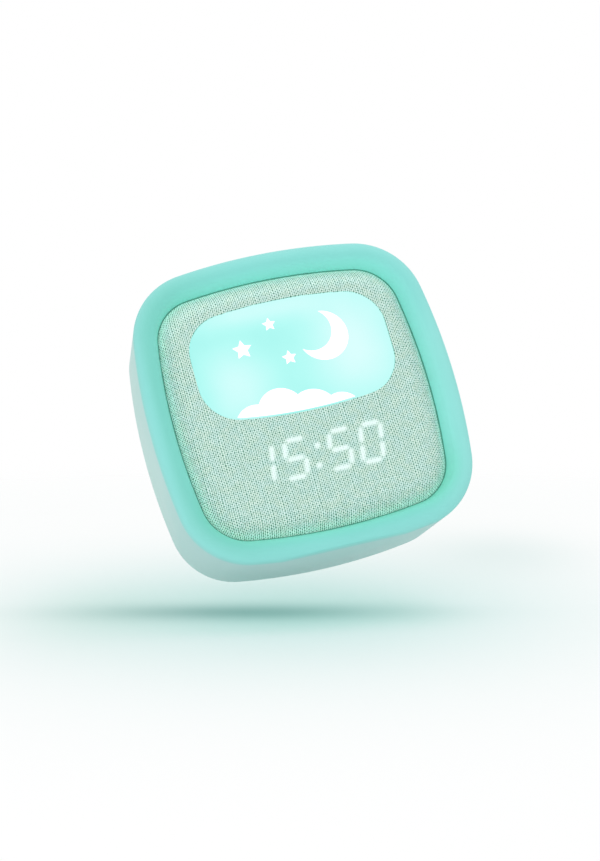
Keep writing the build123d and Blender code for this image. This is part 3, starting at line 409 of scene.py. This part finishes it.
def wrapped(x, z, past, out_x, out_z, lift):
    """Flat points laid over the front, and raised along the normal there.

    A point stays where it is on the flat front. Past the line where the edge begins to turn, it
    goes out by R sin a and back by R (1 - cos a), where R is PANEL_ROUND and a is its distance
    past the line over R."""
    over = np.clip(past, 0, TURNED)
    turn = over / PANEL_ROUND
    shift = (PANEL_ROUND * np.sin(turn) - over) * (over > 0)
    normal = np.stack([out_x * np.sin(turn), -np.cos(turn), out_z * np.sin(turn)], axis=-1)
    depth = PANEL_FRONT + PANEL_ROUND * (1 - np.cos(turn))
    return np.stack([x + out_x * shift, depth, z + out_z * shift], axis=-1) + normal * lift[..., None]


def fabric():
    """The cloth's flat grid wrapped over the front, with a weave that dips between its yarns.

    Points of cells that cross the window's outline or the cut edge are moved on to it, and a
    strip of cells turns in round the window."""
    x, z = cloth_grid()
    in_hole, hole_x, hole_z = reach(HOLE, x, z - WINDOW_HEIGHT)
    past, out_x, out_z = reach(TURN_LINE, x, z)
    inside, outside = in_hole < 0, past > TURNED
    quads = cells(*x.shape)
    dropped = inside.ravel()[quads].all(axis=1) | outside.ravel()[quads].all(axis=1)
    quads = quads[~dropped]
    x = x - np.where(inside, in_hole * hole_x, 0) - np.where(outside, (past - TURNED) * out_x, 0)
    z = z - np.where(inside, in_hole * hole_z, 0) - np.where(outside, (past - TURNED) * out_z, 0)
    u, v = thread_count(x, z)
    lift = np.where(inside | outside, 0, WEAVE_RELIEF / 2 * (weave_height(u, v) - 1))
    points = wrapped(x, z, past, out_x, out_z, lift).reshape(-1, 3)
    edge = border_edges(quads)
    strip = strip_cells(edge[inside.ravel()[edge].all(axis=1)], x.size)
    turned_in = points + np.array([0, FABRIC, 0])
    glow = np.clip(0.5 - (beyond_digits(x, z) - GLOW_SPREAD) / GLOW_EDGE, 0, 1)
    yarn = np.stack([u, v, np.clip(past, 0, None)], axis=-1)
    layers = {"yarn": np.tile(yarn.reshape(-1, 3), (2, 1)), "glow": np.tile(glow.ravel(), 2)}
    points, quads = np.concatenate([points, turned_in]), np.concatenate([quads, strip])
    piece = mesh_piece("front_cloth", points, quads, layers)
    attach(piece, "clock")
    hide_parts("fabric_cover")
    return piece


# ---- finishes --------------------------------------------------------------------------------


def paint(red, green, blue):
    """A screen colour, 0 to 255, as the light values that the shaders use."""
    share = np.array([red, green, blue]) / 255
    light = np.where(share <= 0.04045, share / 12.92, ((share + 0.055) / 1.055) ** 2.4)
    return (*light.tolist(), 1.0)


class Finish:
    """One material, with short calls for its nodes."""

    def __init__(self, name, roughness=0.5, **sockets):
        self.material = bpy.data.materials.new(name)
        self.material.use_nodes = True
        self.nodes = self.material.node_tree.nodes
        self.links = self.material.node_tree.links
        self.shader = self.nodes["Principled BSDF"]
        self.shader.inputs["Roughness"].default_value = roughness
        for socket, value in sockets.items():
            self.shader.inputs[socket.replace("_", " ")].default_value = value
        self.place = self.add("ShaderNodeTexCoord").outputs["Object"]

    def add(self, kind, **settings):
        node = self.nodes.new(kind)
        for key, value in settings.items():
            setattr(node, key, value)
        return node

    def feed(self, socket, value):
        """Links a socket to another, or sets its value."""
        if isinstance(value, bpy.types.NodeSocket):
            self.links.new(value, socket)
        else:
            socket.default_value = value

    def math(self, operation, first, second=0.0, clamp=False):
        node = self.add("ShaderNodeMath", operation=operation, use_clamp=clamp)
        self.feed(node.inputs[0], first)
        self.feed(node.inputs[1], second)
        return node.outputs[0]

    def total(self, first, *others, operation="ADD"):
        """All the values added up, or joined by another operation."""
        for value in others:
            first = self.math(operation, first, value)
        return first

    def attribute(self, name, output="Fac"):
        return self.add("ShaderNodeAttribute", attribute_name=name).outputs[output]

    def split(self, vector):
        node = self.add("ShaderNodeSeparateXYZ")
        self.feed(node.inputs[0], vector)
        return node.outputs

    def join(self, x, y, z):
        node = self.add("ShaderNodeCombineXYZ")
        for socket, value in zip(node.inputs, (x, y, z)):
            self.feed(socket, value)
        return node.outputs[0]

    def stretched(self, vector, scale):
        node = self.add("ShaderNodeMapping")
        self.feed(node.inputs["Vector"], vector)
        node.inputs["Scale"].default_value = scale
        return node.outputs[0]

    def noise(self, scale, detail=3.0, vector=None, rough=0.5):
        node = self.add("ShaderNodeTexNoise")
        self.feed(node.inputs["Vector"], self.place if vector is None else vector)
        node.inputs["Scale"].default_value = scale
        node.inputs["Detail"].default_value = detail
        node.inputs["Roughness"].default_value = rough
        return node.outputs["Fac"]

    def between(self, value, low, high, start=0.0, end=1.0):
        """Value from low to high carried to start to end, smooth at both ends."""
        node = self.add("ShaderNodeMapRange", interpolation_type="SMOOTHSTEP")
        self.feed(node.inputs["Value"], value)
        for key, amount in (("From Min", low), ("From Max", high), ("To Min", start), ("To Max", end)):
            node.inputs[key].default_value = amount
        return node.outputs[0]

    def mix(self, factor, first, second, blend="MIX"):
        node = self.add("ShaderNodeMix", data_type="RGBA", blend_type=blend)
        self.feed(node.inputs[0], factor)
        self.feed(node.inputs[6], first)
        self.feed(node.inputs[7], second)
        return node.outputs[2]

    def ramp(self, factor, stops):
        """Screen colours at values from 0 to 1, straight between them."""
        node = self.add("ShaderNodeValToRGB")
        self.feed(node.inputs[0], factor)
        elements = node.color_ramp.elements
        while len(elements) < len(stops):
            elements.new(0.5)
        for element, (position, colour) in zip(elements, stops):
            element.position = position
            element.color = paint(*colour)
        return node.outputs[0]

    def bump(self, height, distance, strength):
        node = self.add("ShaderNodeBump")
        node.inputs["Strength"].default_value = strength
        node.inputs["Distance"].default_value = distance
        self.feed(node.inputs["Height"], height)
        return node.outputs[0]

    def set(self, socket, value):
        self.feed(self.shader.inputs[socket], value)

    def put_on(self, *pieces):
        for piece in pieces:
            piece.data.materials.clear()
            piece.data.materials.append(self.material)


WHITE = (1.0, 1.0, 1.0, 1.0)
NOISE_SPAN = (0.3, 0.7)      # nearly all values of a noise lie between these
RUBBER_GRAIN = 5200.0        # bumps to a metre
RUBBER_DEPTH = 0.02

# millimetres across the sleeve's section, from the foot of the groove, and the colour there, with painted
# shade and sheen: darker and greener toward the groove, a painted highlight over the bead and a painted
# sheen making the outer wall paler
SLEEVE_ACROSS = 44.0
SLEEVE_COLOURS = (
    (0.0, (124, 220, 206)),
    (5.0, (130, 222, 211)),
    (8.0, (142, 227, 220)),
    (12.5, (154, 232, 227)),
    (14.6, (158, 229, 224)),
    (17.0, (192, 226, 224)),
    (SLEEVE_ACROSS, (195, 227, 224)),
)
SLEEVE_CLOUD = (120, 214, 200)
CLOUD_MOST = 0.10            # share of it in the middle of a cloud
SLEEVE_ROUGHNESS = (0.58, 0.68)
# painted light: an emitted glow in the groove that stands in for the light the bead throws on it
GROOVE_LIGHT = (156, 201, 205)   # light that the bead throws on its own groove
GROOVE_LIFT = 0.24
GROOVE_LIT = (8.2, 4.0)      # across the section, from none to all of it

# patches of painted light and shade on the sleeve: each measure fades from nothing at the first value to all
# at the second
Tint = namedtuple("Tint", "blend colour fades")
SLEEVE_PAINTED_SHADING = (
    # painted shade: the left of the bead darker
    Tint("MULTIPLY", (0.84, 0.91, 0.86),
         (("x", -49.5, -45.5), ("x", -8.0, -44.0), ("across", 14.0, 8.0))),      # left of the bead
    # painted light: the right of the bead lighter
    Tint("ADD", (0.05, 0.05, 0.05),
         (("x", 20.0, 52.0), ("z", 79.0, 55.0), ("across", 14.0, 8.0))),         # right of the bead
    # painted light: the left wall lighter
    Tint("ADD", (0.07, 0.05, 0.042),
         (("x", -42.0, -47.0), ("across", 14.0, 17.0), ("z", 12.0, 40.0))),      # left wall
    # painted shade: the groove darker and greener low down
    Tint("MULTIPLY", (0.70, 0.92, 0.80),
         (("z", 32.0, 10.0), ("across", 10.0, 4.0))),                            # lower groove
)


def with_painted_shading(finish, colour, across):
    """The colour with the sleeve's patches of painted light and shade laid over it, one after another."""
    x, _, z = finish.split(finish.place)
    measures = {"x": (x, MM), "z": (z, MM), "across": (across, 1.0)}
    for painted_shading in SLEEVE_PAINTED_SHADING:
        fades = []
        for name, low, high in painted_shading.fades:
            value, unit = measures[name]
            fades.append(finish.between(value, low * unit, high * unit))
        level = finish.total(*fades, operation="MULTIPLY")
        colour = finish.mix(level, colour, (*painted_shading.colour, 1.0), painted_shading.blend)
    return colour


def sleeve_finish():
    """Matt soft-touch rubber: turquoise on the bead, with painted shade making it a touch greener toward the
    groove, a painted sheen making it paler outside, patches of painted light and shade, and a painted glow
    in the groove.
    """
    finish = Finish("sleeve_soft_rubber", 0.62, Specular_IOR_Level=0.3)
    across = finish.attribute("across")
    stops = [(distance / SLEEVE_ACROSS, colour) for distance, colour in SLEEVE_COLOURS]
    colour = finish.ramp(finish.math("DIVIDE", across, SLEEVE_ACROSS), stops)
    cloudy = finish.between(finish.noise(38.0, 2.0), 0.35, 0.7, 0.0, CLOUD_MOST)
    colour = finish.mix(cloudy, colour, paint(*SLEEVE_CLOUD))
    finish.set("Base Color", with_painted_shading(finish, colour, across))
    # painted light: the glow in the groove
    finish.set("Emission Color", paint(*GROOVE_LIGHT))
    finish.set("Emission Strength", finish.between(across, *GROOVE_LIT, 0.0, GROOVE_LIFT))
    grain = finish.noise(RUBBER_GRAIN, 2.0)
    finish.set("Roughness", finish.between(grain, *NOISE_SPAN, *SLEEVE_ROUGHNESS))
    finish.set("Normal", finish.bump(grain, RUBBER_DEPTH * MM, 0.5))
    return finish


CLOTH_TONE = -0.045          # brightness before the parts are added, each by its share
CLOTH_TONES = {
    "rise": 0.18,            # crossings where the upright thread is on top
    "lean": -0.035,          # lean of the twist
    "ridge_u": -0.26,        # hollows between upright threads
    "ridge_v": -0.21,        # hollows between level threads
    "pair_u": 0.05,          # every other upright thread
    "pair_v": 0.03,          # every other level thread
    "fleck": 0.11,           # single crossings
    "warp": 0.36,            # upright threads that differ
    "weft": 0.26,            # level threads that differ
    "strand": 0.38,          # mottling
}
CLOTH_COLOURS = (
    (0.0, (84, 128, 112)),
    (0.3, (148, 188, 174)),
    (0.55, (196, 232, 220)),
    (0.8, (232, 255, 250)),
    (1.0, (250, 255, 255)),
)
CLOTH_WARM, CLOTH_COOL = (254, 255, 249), (249, 255, 255)
CLOTH_LIT = (186, 224, 211)  # evener yarn colour under a lit bar
LIT_EVENING = 0.7            # how far a lit bar evens it out
BAR_LIGHT = (0.36, 0.31, 0.35, 1.0)
FIBRE_DEPTH = 0.06
THREAD_CHANGE = 0.22         # how fast a thread changes along itself
THREAD_LEAST = 0.46          # no thread is duller than this
CLOTH_MIDDLE = 0.52          # the edge's contrast grows about this brightness
EDGE_CONTRAST = 0.6
EDGE_TURNING = (1.5, 6.5)    # past the turn line, over which the contrast grows
CONTRAST_HEIGHT = (85.0, 65.0)   # and the heights over which it does
# painted light on the cloth's turned edge and along its top, given as an emitted glow
EDGE_LIGHT = (195, 232, 220)
EDGE_TONES, EDGE_PATTERN = (0.1, 0.9), (0.2, 1.7)   # a dark and a pale yarn, and the share each takes
EDGE_LIFT, EDGE_LIT = 0.17, (5.5, 8.7)   # light on the edge, and where it grows past the line
TOP_LIFT, TOP_LIT = 0.1, (0.0, 2.5)      # more of it along the top
TOP_HEIGHT = (72.0, 85.0)


def weave_parts(finish, yarn, u, v):
    """What lightens or darkens the cloth: cosines of the two thread counts, and noise by thread."""
    turn_u, turn_v = finish.math("MULTIPLY", u, math.pi), finish.math("MULTIPLY", v, math.pi)
    wave_u, wave_v = finish.math("COSINE", turn_u), finish.math("COSINE", turn_v)
    thread_u, thread_v = finish.math("ROUND", u), finish.math("ROUND", v)
    along_u = finish.math("MULTIPLY", u, THREAD_CHANGE)
    along_v = finish.math("MULTIPLY", v, THREAD_CHANGE)
    warp = finish.noise(1.0, 2.0, finish.join(thread_u, along_v, 0.0))
    weft = finish.noise(1.0, 2.0, finish.join(along_u, thread_v, 7.0))
    fleck = finish.add("ShaderNodeTexWhiteNoise", noise_dimensions="2D")
    finish.feed(fleck.inputs["Vector"], finish.join(thread_u, thread_v, 0.0))
    return {
        "rise": finish.total(wave_u, wave_v, -1.0, operation="MULTIPLY"),
        "lean": finish.math("COSINE", finish.math("SUBTRACT", turn_u, turn_v)),
        "ridge_u": finish.math("COSINE", finish.math("MULTIPLY", turn_u, 2.0)),
        "ridge_v": finish.math("COSINE", finish.math("MULTIPLY", turn_v, 2.0)),
        "pair_u": wave_u,
        "pair_v": wave_v,
        "fleck": fleck.outputs["Value"],
        "warp": finish.math("MAXIMUM", warp, THREAD_LEAST),
        "weft": finish.math("MAXIMUM", weft, THREAD_LEAST),
        "strand": finish.noise(1.1, 1.0, yarn, 0.6),
    }


def cloth_tone(finish, parts, past, z):
    """Brightness of the weave: its parts by their shares, with more contrast where the sides and
    the lower edge turn away."""
    tone = CLOTH_TONE
    for name, share in CLOTH_TONES.items():
        tone = finish.math("ADD", tone, finish.math("MULTIPLY", parts[name], share))
    turning = finish.between(past, *EDGE_TURNING, 0.0, EDGE_CONTRAST)
    below = finish.between(z, *(height * MM for height in CONTRAST_HEIGHT))
    swing = finish.math("ADD", finish.math("MULTIPLY", below, turning), 1.0)
    swung = finish.math("MULTIPLY", finish.math("SUBTRACT", tone, CLOTH_MIDDLE), swing)
    return finish.math("ADD", swung, CLOTH_MIDDLE)


def edge_light(finish, tone, past, z):
    """Painted light, an emitted glow standing in for light caught by the yarn where the edge turns, and at
    the top a little before it.
    """
    edge = finish.between(past, *EDGE_LIT, 0.0, EDGE_LIFT)
    top = finish.between(past, *TOP_LIT, 0.0, TOP_LIFT)
    top = finish.math("MULTIPLY", top, finish.between(z, *(height * MM for height in TOP_HEIGHT)))
    pattern = finish.between(tone, *EDGE_TONES, *EDGE_PATTERN)
    level = finish.math("MULTIPLY", finish.math("ADD", edge, top), pattern)
    return finish.mix(level, (0.0, 0.0, 0.0, 1.0), paint(*EDGE_LIGHT))


def cloth_finish():
    """Plain weave of mottled mint yarn: dark where it dives, light dashes where it rises."""
    finish = Finish("woven_mint_cloth", 0.9, Specular_IOR_Level=0.2)
    yarn = finish.attribute("yarn", "Vector")
    u, v, past = finish.split(yarn)
    z = finish.split(finish.place)[2]
    tone = cloth_tone(finish, weave_parts(finish, yarn, u, v), past, z)
    warmth = finish.between(finish.noise(0.2, 3.0, yarn), 0.35, 0.65)
    tinge = finish.mix(warmth, paint(*CLOTH_WARM), paint(*CLOTH_COOL))
    colour = finish.mix(1.0, finish.ramp(tone, CLOTH_COLOURS), tinge, "MULTIPLY")
    glow = finish.attribute("glow")
    evened = finish.math("MULTIPLY", glow, LIT_EVENING)
    finish.set("Base Color", finish.mix(evened, colour, paint(*CLOTH_LIT)))
    finish.set("Emission Color", finish.mix(glow, edge_light(finish, tone, past, z), BAR_LIGHT))
    finish.set("Emission Strength", 1.0)
    fibres = finish.noise(3.0, 3.0, yarn)
    finish.set("Normal", finish.bump(fibres, FIBRE_DEPTH * MM, 0.6))
    return finish


# light patches behind the window: place and size in x and z, and brightness
LightPatch = namedtuple("LightPatch", "x z half_x half_z share")
LIGHT_PATCHES = (
    LightPatch(-19.0, 7.0, 8.0, 9.5, 0.8),
    LightPatch(20.5, 14.0, 10.5, 14.0, 1.0),
    LightPatch(-8.0, 31.0, 16.0, 3.5, 0.75),
)
WINDOW_UNEVEN = 0.06
WINDOW_LEVEL, PRINT_LEVEL = 0.92, 0.6   # strength of the light from the window and its print
WINDOW_COLOURS = (
    (0.0, (164, 246, 238)),
    (0.25, (178, 252, 245)),
    (0.6, (198, 254, 250)),
    (1.0, (218, 255, 254)),
)


def window_finish():
    """Milky plastic lit from behind, deeper cyan away from the lamps.

    Each patch adds share * exp(-(x^2 + z^2) / 2), with x and z in sizes from its place."""
    finish = Finish("lit_milky_window", 0.35, Specular_IOR_Level=0.4)
    x, _, z = finish.split(finish.place)
    patches = []
    for patch in LIGHT_PATCHES:
        off_x = finish.math("DIVIDE", finish.math("SUBTRACT", x, patch.x * MM), patch.half_x * MM)
        off_z = finish.math("SUBTRACT", z, (patch.z + CENTRE_HEIGHT) * MM)
        off_z = finish.math("DIVIDE", off_z, patch.half_z * MM)
        far = finish.math("ADD", finish.math("POWER", off_x, 2.0), finish.math("POWER", off_z, 2.0))
        level = finish.math("EXPONENT", finish.math("MULTIPLY", far, -0.5))
        patches.append(finish.math("MULTIPLY", level, patch.share))
    uneven = finish.between(finish.noise(60.0, 2.0), *NOISE_SPAN, -WINDOW_UNEVEN, WINDOW_UNEVEN)
    glow = finish.math("ADD", finish.total(*patches), uneven, clamp=True)
    finish.set("Base Color", (0.03, 0.05, 0.05, 1.0))
    finish.set("Emission Color", finish.ramp(glow, WINDOW_COLOURS))
    finish.set("Emission Strength", WINDOW_LEVEL)
    return finish


def print_finish():
    """Opaque white ink, glowing evenly, with the fine tooth of a screen print."""
    finish = Finish("white_screen_print", 0.6)
    tooth = finish.noise(2600.0, 2.0)
    finish.set("Base Color", finish.mix(tooth, paint(250, 252, 252), paint(255, 255, 255)))
    finish.set("Emission Color", WHITE)
    finish.set("Emission Strength", PRINT_LEVEL)
    finish.set("Normal", finish.bump(tooth, 0.01 * MM, 0.4))
    return finish


def moulded(name, colour, shade, roughness=0.5, grain=1600.0, depth=0.03, **sockets):
    """Moulded plastic: spark-eroded grain, a faint change of colour and of gloss."""
    finish = Finish(name, roughness, **sockets)
    flow = finish.noise(45.0, 3.0)
    finish.set("Base Color", finish.mix(finish.between(flow, 0.3, 0.75), paint(*colour), paint(*shade)))
    texture = finish.noise(grain, 3.0)
    finish.set("Roughness", finish.between(texture, *NOISE_SPAN, roughness - 0.06, roughness + 0.06))
    finish.set("Normal", finish.bump(texture, depth * MM, 0.6))
    return finish


def metal(name, colour, shade, roughness=0.3, stretch=(60.0, 1200.0, 1200.0)):
    """Metal with drawing lines along X, and gloss that changes with them."""
    finish = Finish(name, roughness, Metallic=1.0)
    lines = finish.noise(1.0, 3.0, finish.stretched(finish.place, stretch))
    finish.set("Base Color", finish.mix(lines, paint(*colour), paint(*shade)))
    finish.set("Roughness", finish.between(lines, *NOISE_SPAN, roughness - 0.08, roughness + 0.1))
    finish.set("Normal", finish.bump(lines, 0.01 * MM, 0.4))
    return finish


TRACK_HALF_X, TRACK_HALF_Z = 1.2, 1.6   # half the spacing of the copper tracks
TRACK_WIDTH, TRACK_EDGE = 0.2, 0.1      # half a track with its edge, and the edge
TRACK_WAVE = 4.0             # how far the upright tracks bend
TRACK_RAISED = 0.03


def circuit_board():
    """Green solder mask over a grid of copper tracks."""
    finish = Finish("green_circuit_board", 0.35)
    x, _, z = finish.split(finish.place)
    bent = finish.math("ADD", x, finish.math("MULTIPLY", finish.noise(120.0), TRACK_WAVE * MM))
    tracks = []
    for place, half in ((bent, TRACK_HALF_X), (z, TRACK_HALF_Z)):
        start = half - TRACK_WIDTH
        beside = finish.math("PINGPONG", place, half * MM)
        tracks.append(finish.between(beside, start * MM, (start + TRACK_EDGE) * MM))
    track = finish.math("MAXIMUM", *tracks)
    finish.set("Base Color", finish.mix(track, paint(24, 92, 60), paint(58, 136, 88)))
    finish.set("Normal", finish.bump(track, TRACK_RAISED * MM, 0.5))
    return finish


def foil():
    """Crinkled pouch foil."""
    finish = Finish("pouch_foil", 0.38, Metallic=1.0)
    crease = finish.add("ShaderNodeTexVoronoi", feature="DISTANCE_TO_EDGE")
    finish.feed(crease.inputs["Vector"], finish.place)
    crease.inputs["Scale"].default_value = 210.0
    height = finish.between(crease.outputs["Distance"], 0.0, 0.25)
    finish.set("Base Color", finish.mix(height, paint(168, 172, 176), paint(206, 210, 214)))
    finish.set("Normal", finish.bump(height, 0.08 * MM, 0.5))
    return finish


def frame_finishes():
    """A finish for each of the record's slots, by slot."""
    return {
        "light_key_rubber": moulded(
            "light_key_soft_rubber", (150, 222, 213), (158, 226, 218), 0.6, RUBBER_GRAIN, RUBBER_DEPTH,
            Sheen_Weight=0.35, Specular_IOR_Level=0.35,
        ),
        # mint housing in a darker green that paints the shade in the thin gap round the cloth, where it
        # shows
        "housing_plastic": moulded("inner_housing_plastic", (96, 172, 154), (88, 164, 146)),
        "cover_plastic": moulded("rear_cover_plastic", (206, 230, 225), (198, 225, 219), 0.52, 2400.0, 0.04),
        "key_plastic": moulded("rear_key_rubber", (134, 208, 198), (142, 214, 204), 0.55, 3600.0),
        "window_plastic": window_finish(),
        "print_white": print_finish(),
        "reflector_white": moulded("reflector_white_plastic", (246, 248, 248), (238, 241, 241), 0.4),
        "circuit_board": circuit_board(),
        "led_chip": moulded("lamp_phosphor", (246, 226, 120), (236, 210, 96), 0.4, 3000.0),
        "block_dark": moulded("digit_block_black", (30, 32, 34), (38, 40, 42), 0.55),
        "digit_glow": print_finish(),
        "digit_clear": moulded("digit_resin_unlit", (206, 214, 214), (194, 204, 204), 0.3),
        "ribbon_white": moulded("ribbon_white_film", (236, 236, 230), (222, 222, 214), 0.4),
        "chip_black": moulded("chip_epoxy_black", (28, 28, 30), (40, 40, 44), 0.45, 5000.0),
        "switch_metal": metal("switch_tinned_steel", (196, 198, 200), (170, 172, 176), 0.35),
        "plunger_black": moulded("plunger_black_plastic", (34, 34, 36), (44, 44, 48), 0.45),
        "socket_steel": metal("socket_nickel_steel", (205, 206, 208), (176, 178, 182), 0.28),
        "speaker_steel": metal("speaker_zinc_steel", (188, 190, 192), (150, 154, 158), 0.4),
        "cone_paper": moulded("speaker_cone_paper", (44, 46, 48), (60, 62, 64), 0.85, 1800.0, 0.08),
        "foam_dark": moulded("gasket_foam", (52, 54, 56), (38, 40, 42), 0.95, 2600.0, 0.12),
        "cell_foil": foil(),
        "plug_white": moulded("plug_white_nylon", (238, 236, 228), (228, 226, 216), 0.45),
        "lead_red": moulded("lead_silicone_red", (176, 38, 34), (160, 32, 30)),
        "screw_steel": metal("screw_zinc_steel", (186, 188, 192), (150, 154, 160), 0.32, (900.0,) * 3),
    }


def dress_frame():
    """Gives every CAD node that still shows the finish of its slot."""
    finishes = frame_finishes()
    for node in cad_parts.values():
        slot = node.data.materials[0].name if node.data.materials else None
        if slot in finishes:
            finishes[slot].put_on(node)


# ---- studio ----------------------------------------------------------------------------------

CAMERA_PLACE = (-0.1594, -0.6002, -0.1160)
CAMERA_AZIMUTH = -14.903
CAMERA_ELEVATION = -14.406
CAMERA_ROLL = 15.888
FOCAL_PIXELS = 2000.0
PICTURE_HEIGHT = 861
SENSOR = 36.0
CENTRE = Vector((0, 0, CENTRE_HEIGHT * MM))
UP = Vector((0.175, -0.391, 0.903)).normalized()   # away from the floor: the clock is held tilted
FLOOR_DROP = 62.5            # from the middle of the clock to the floor
FLOOR_HALF = 3.0             # metres
FLOOR_ACROSS = Vector((0.947, -0.183, -0.263)).normalized()
FLOOR_SHOWN, FLOOR_GONE = 0.24, 0.45   # metres over which the floor fades into the background
FLOOR_BOUNCE = paint(240, 246, 245)
FLOOR_SHADE = np.array((0.72, 0.39, 0.50))   # how much of the clock's own shadow each colour takes
FLOOR_OPEN = 0.95            # light that the open floor gets
# painted shadows on the floor, soft darker ovals under and beside the clock: place and size across and
# ahead, depth of red, green and blue
PaintedShadow = namedtuple("PaintedShadow", "place size depth")
FLOOR_PAINTED_SHADOWS = (
    PaintedShadow((-5.0, -1.0), (63.0, 74.0), (0.32, 0.155, 0.170)),
    PaintedShadow((-16.5, -8.5), (33.0, 10.0), (0.50, 0.38, 0.39)),
    PaintedShadow((78.0, 112.0), (22.0, 36.0), (0.12, 0.07, 0.075)),
    PaintedShadow((-66.0, -12.0), (18.0, 38.0), (0.10, 0.05, 0.07)),
)
SKY_LEVEL = 0.80
LAMP_SIDE = Vector((0.947, 0.203, 0.249))


def studio_camera():
    """A camera at its place, turned by azimuth and elevation, then rolled about its own axis."""
    azimuth, elevation = math.radians(CAMERA_AZIMUTH), math.radians(CAMERA_ELEVATION)
    back = Vector((
        math.sin(azimuth) * math.cos(elevation),
        -math.cos(azimuth) * math.cos(elevation),
        math.sin(elevation),
    ))
    data = bpy.data.cameras.new("studio_camera")
    data.sensor_width = SENSOR
    data.lens = FOCAL_PIXELS * SENSOR / PICTURE_HEIGHT
    data.clip_start = 0.01
    camera = bpy.data.objects.new("studio_camera", data)
    bpy.context.scene.collection.objects.link(camera)
    level = (-back).to_track_quat("-Z", "Y").to_matrix().to_4x4()
    roll = Matrix.Rotation(-math.radians(CAMERA_ROLL), 4, "Z")
    camera.matrix_world = Matrix.Translation(CAMERA_PLACE) @ level @ roll
    bpy.context.scene.camera = camera


def painted_shadow_of(finish, middle, painted_shadow):
    """White less a soft oval of painted shadow: 1 - depth * exp(-(across^2 + ahead^2) / 2), in sizes."""
    parts = []
    for axis, offset, size in zip((FLOOR_ACROSS, UP.cross(FLOOR_ACROSS)), painted_shadow.place, painted_shadow.size):
        along = finish.add("ShaderNodeVectorMath", operation="DOT_PRODUCT")
        finish.feed(along.inputs[0], finish.place)
        along.inputs[1].default_value = axis
        shifted = finish.math("SUBTRACT", along.outputs["Value"], middle.dot(axis) + offset * MM)
        parts.append(finish.math("POWER", finish.math("DIVIDE", shifted, size * MM), 2.0))
    level = finish.math("EXPONENT", finish.math("MULTIPLY", finish.total(*parts), -0.5))
    return finish.mix(level, WHITE, (*(1 - share for share in painted_shadow.depth), 1.0))


def floor_finish(middle):
    """Pale floor with soft painted shadows under the clock that also keeps the clock's own shadow, clear
    from below and far away.
    """
    finish = Finish("pale_floor", 0.9, Specular_IOR_Level=0.0)
    seen = finish.add("ShaderNodeLightPath").outputs["Is Camera Ray"]
    painted_shading = WHITE
    for painted_shadow in FLOOR_PAINTED_SHADOWS:
        painted_shading = finish.mix(1.0, painted_shading, painted_shadow_of(finish, middle, painted_shadow), "MULTIPLY")
    shade = finish.mix(1.0, painted_shading, (*FLOOR_SHADE, 1.0), "MULTIPLY")
    lift = finish.mix(1.0, painted_shading, (*(1 - FLOOR_OPEN * FLOOR_SHADE), 1.0), "MULTIPLY")
    finish.set("Base Color", finish.mix(seen, FLOOR_BOUNCE, shade))
    finish.set("Emission Color", lift)
    finish.set("Emission Strength", seen)
    far = finish.add("ShaderNodeVectorMath", operation="DISTANCE")
    finish.feed(far.inputs[0], finish.place)
    far.inputs[1].default_value = middle
    fade = finish.math("MULTIPLY", finish.between(far.outputs["Value"], FLOOR_SHOWN, FLOOR_GONE), seen)
    below = finish.add("ShaderNodeNewGeometry").outputs["Backfacing"]
    choose = finish.add("ShaderNodeMixShader")
    finish.links.new(finish.math("MAXIMUM", below, fade), choose.inputs[0])
    finish.links.new(finish.shader.outputs[0], choose.inputs[1])
    finish.links.new(finish.add("ShaderNodeBsdfTransparent").outputs[0], choose.inputs[2])
    finish.links.new(choose.outputs[0], finish.nodes["Material Output"].inputs["Surface"])
    return finish


def floor():
    """A flat square under the clock that shows only where the clock's shadow falls."""
    middle = CENTRE - UP * FLOOR_DROP * MM
    side = UP.orthogonal().normalized()
    ahead = UP.cross(side)
    signs = ((-1, -1), (1, -1), (1, 1), (-1, 1))
    corners = [middle + (side * a + ahead * b) * FLOOR_HALF for a, b in signs]
    mesh = bpy.data.meshes.new("floor")
    mesh.from_pydata(corners, [], [(0, 1, 2, 3)])
    plane = bpy.data.objects.new("floor", mesh)
    bpy.context.scene.collection.objects.link(plane)
    floor_finish(middle).put_on(plane)


def softbox(name, place, size, watts):
    """A round area light turned to the middle of the clock."""
    data = bpy.data.lights.new(name, "AREA")
    data.shape = "DISK"
    data.size = size
    data.energy = watts
    lamp = bpy.data.objects.new(name, data)
    bpy.context.scene.collection.objects.link(lamp)
    lamp.location = place
    lamp.rotation_euler = (CENTRE - place).to_track_quat("-Z", "Y").to_euler()


def studio_sky():
    """A pale sky all round, white to the lens, in reflections and through clear plastic."""
    world = bpy.data.worlds.new("studio")
    bpy.context.scene.world = world
    world.use_nodes = True
    nodes, links = world.node_tree.nodes, world.node_tree.links
    sky = nodes["Background"]
    sky.inputs["Color"].default_value = WHITE
    rays = nodes.new("ShaderNodeLightPath").outputs
    seen = rays["Is Camera Ray"]
    for name in ("Is Glossy Ray", "Is Transmission Ray"):
        either = nodes.new("ShaderNodeMath")
        either.operation = "MAXIMUM"
        links.new(seen, either.inputs[0])
        links.new(rays[name], either.inputs[1])
        seen = either.outputs[0]
    level = nodes.new("ShaderNodeMapRange")
    links.new(seen, level.inputs["Value"])
    level.inputs["To Min"].default_value = SKY_LEVEL
    level.inputs["To Max"].default_value = 1.0
    links.new(level.outputs[0], sky.inputs["Strength"])


def studio_light():
    """The sky and two large softboxes, one above and one in front."""
    studio_sky()
    softbox("top_softbox", CENTRE + UP * 0.8 + LAMP_SIDE * 0.25, size=0.6, watts=1.2)
    softbox("front_softbox", CENTRE + Vector((-0.45, -0.75, -0.08)), size=0.4, watts=1.0)
    bpy.context.scene.view_settings.view_transform = "Standard"


# ---- the clock -------------------------------------------------------------------------------

sleeve_finish().put_on(sleeve())
cloth_finish().put_on(fabric())
dress_frame()
studio_camera()
floor()
studio_light()
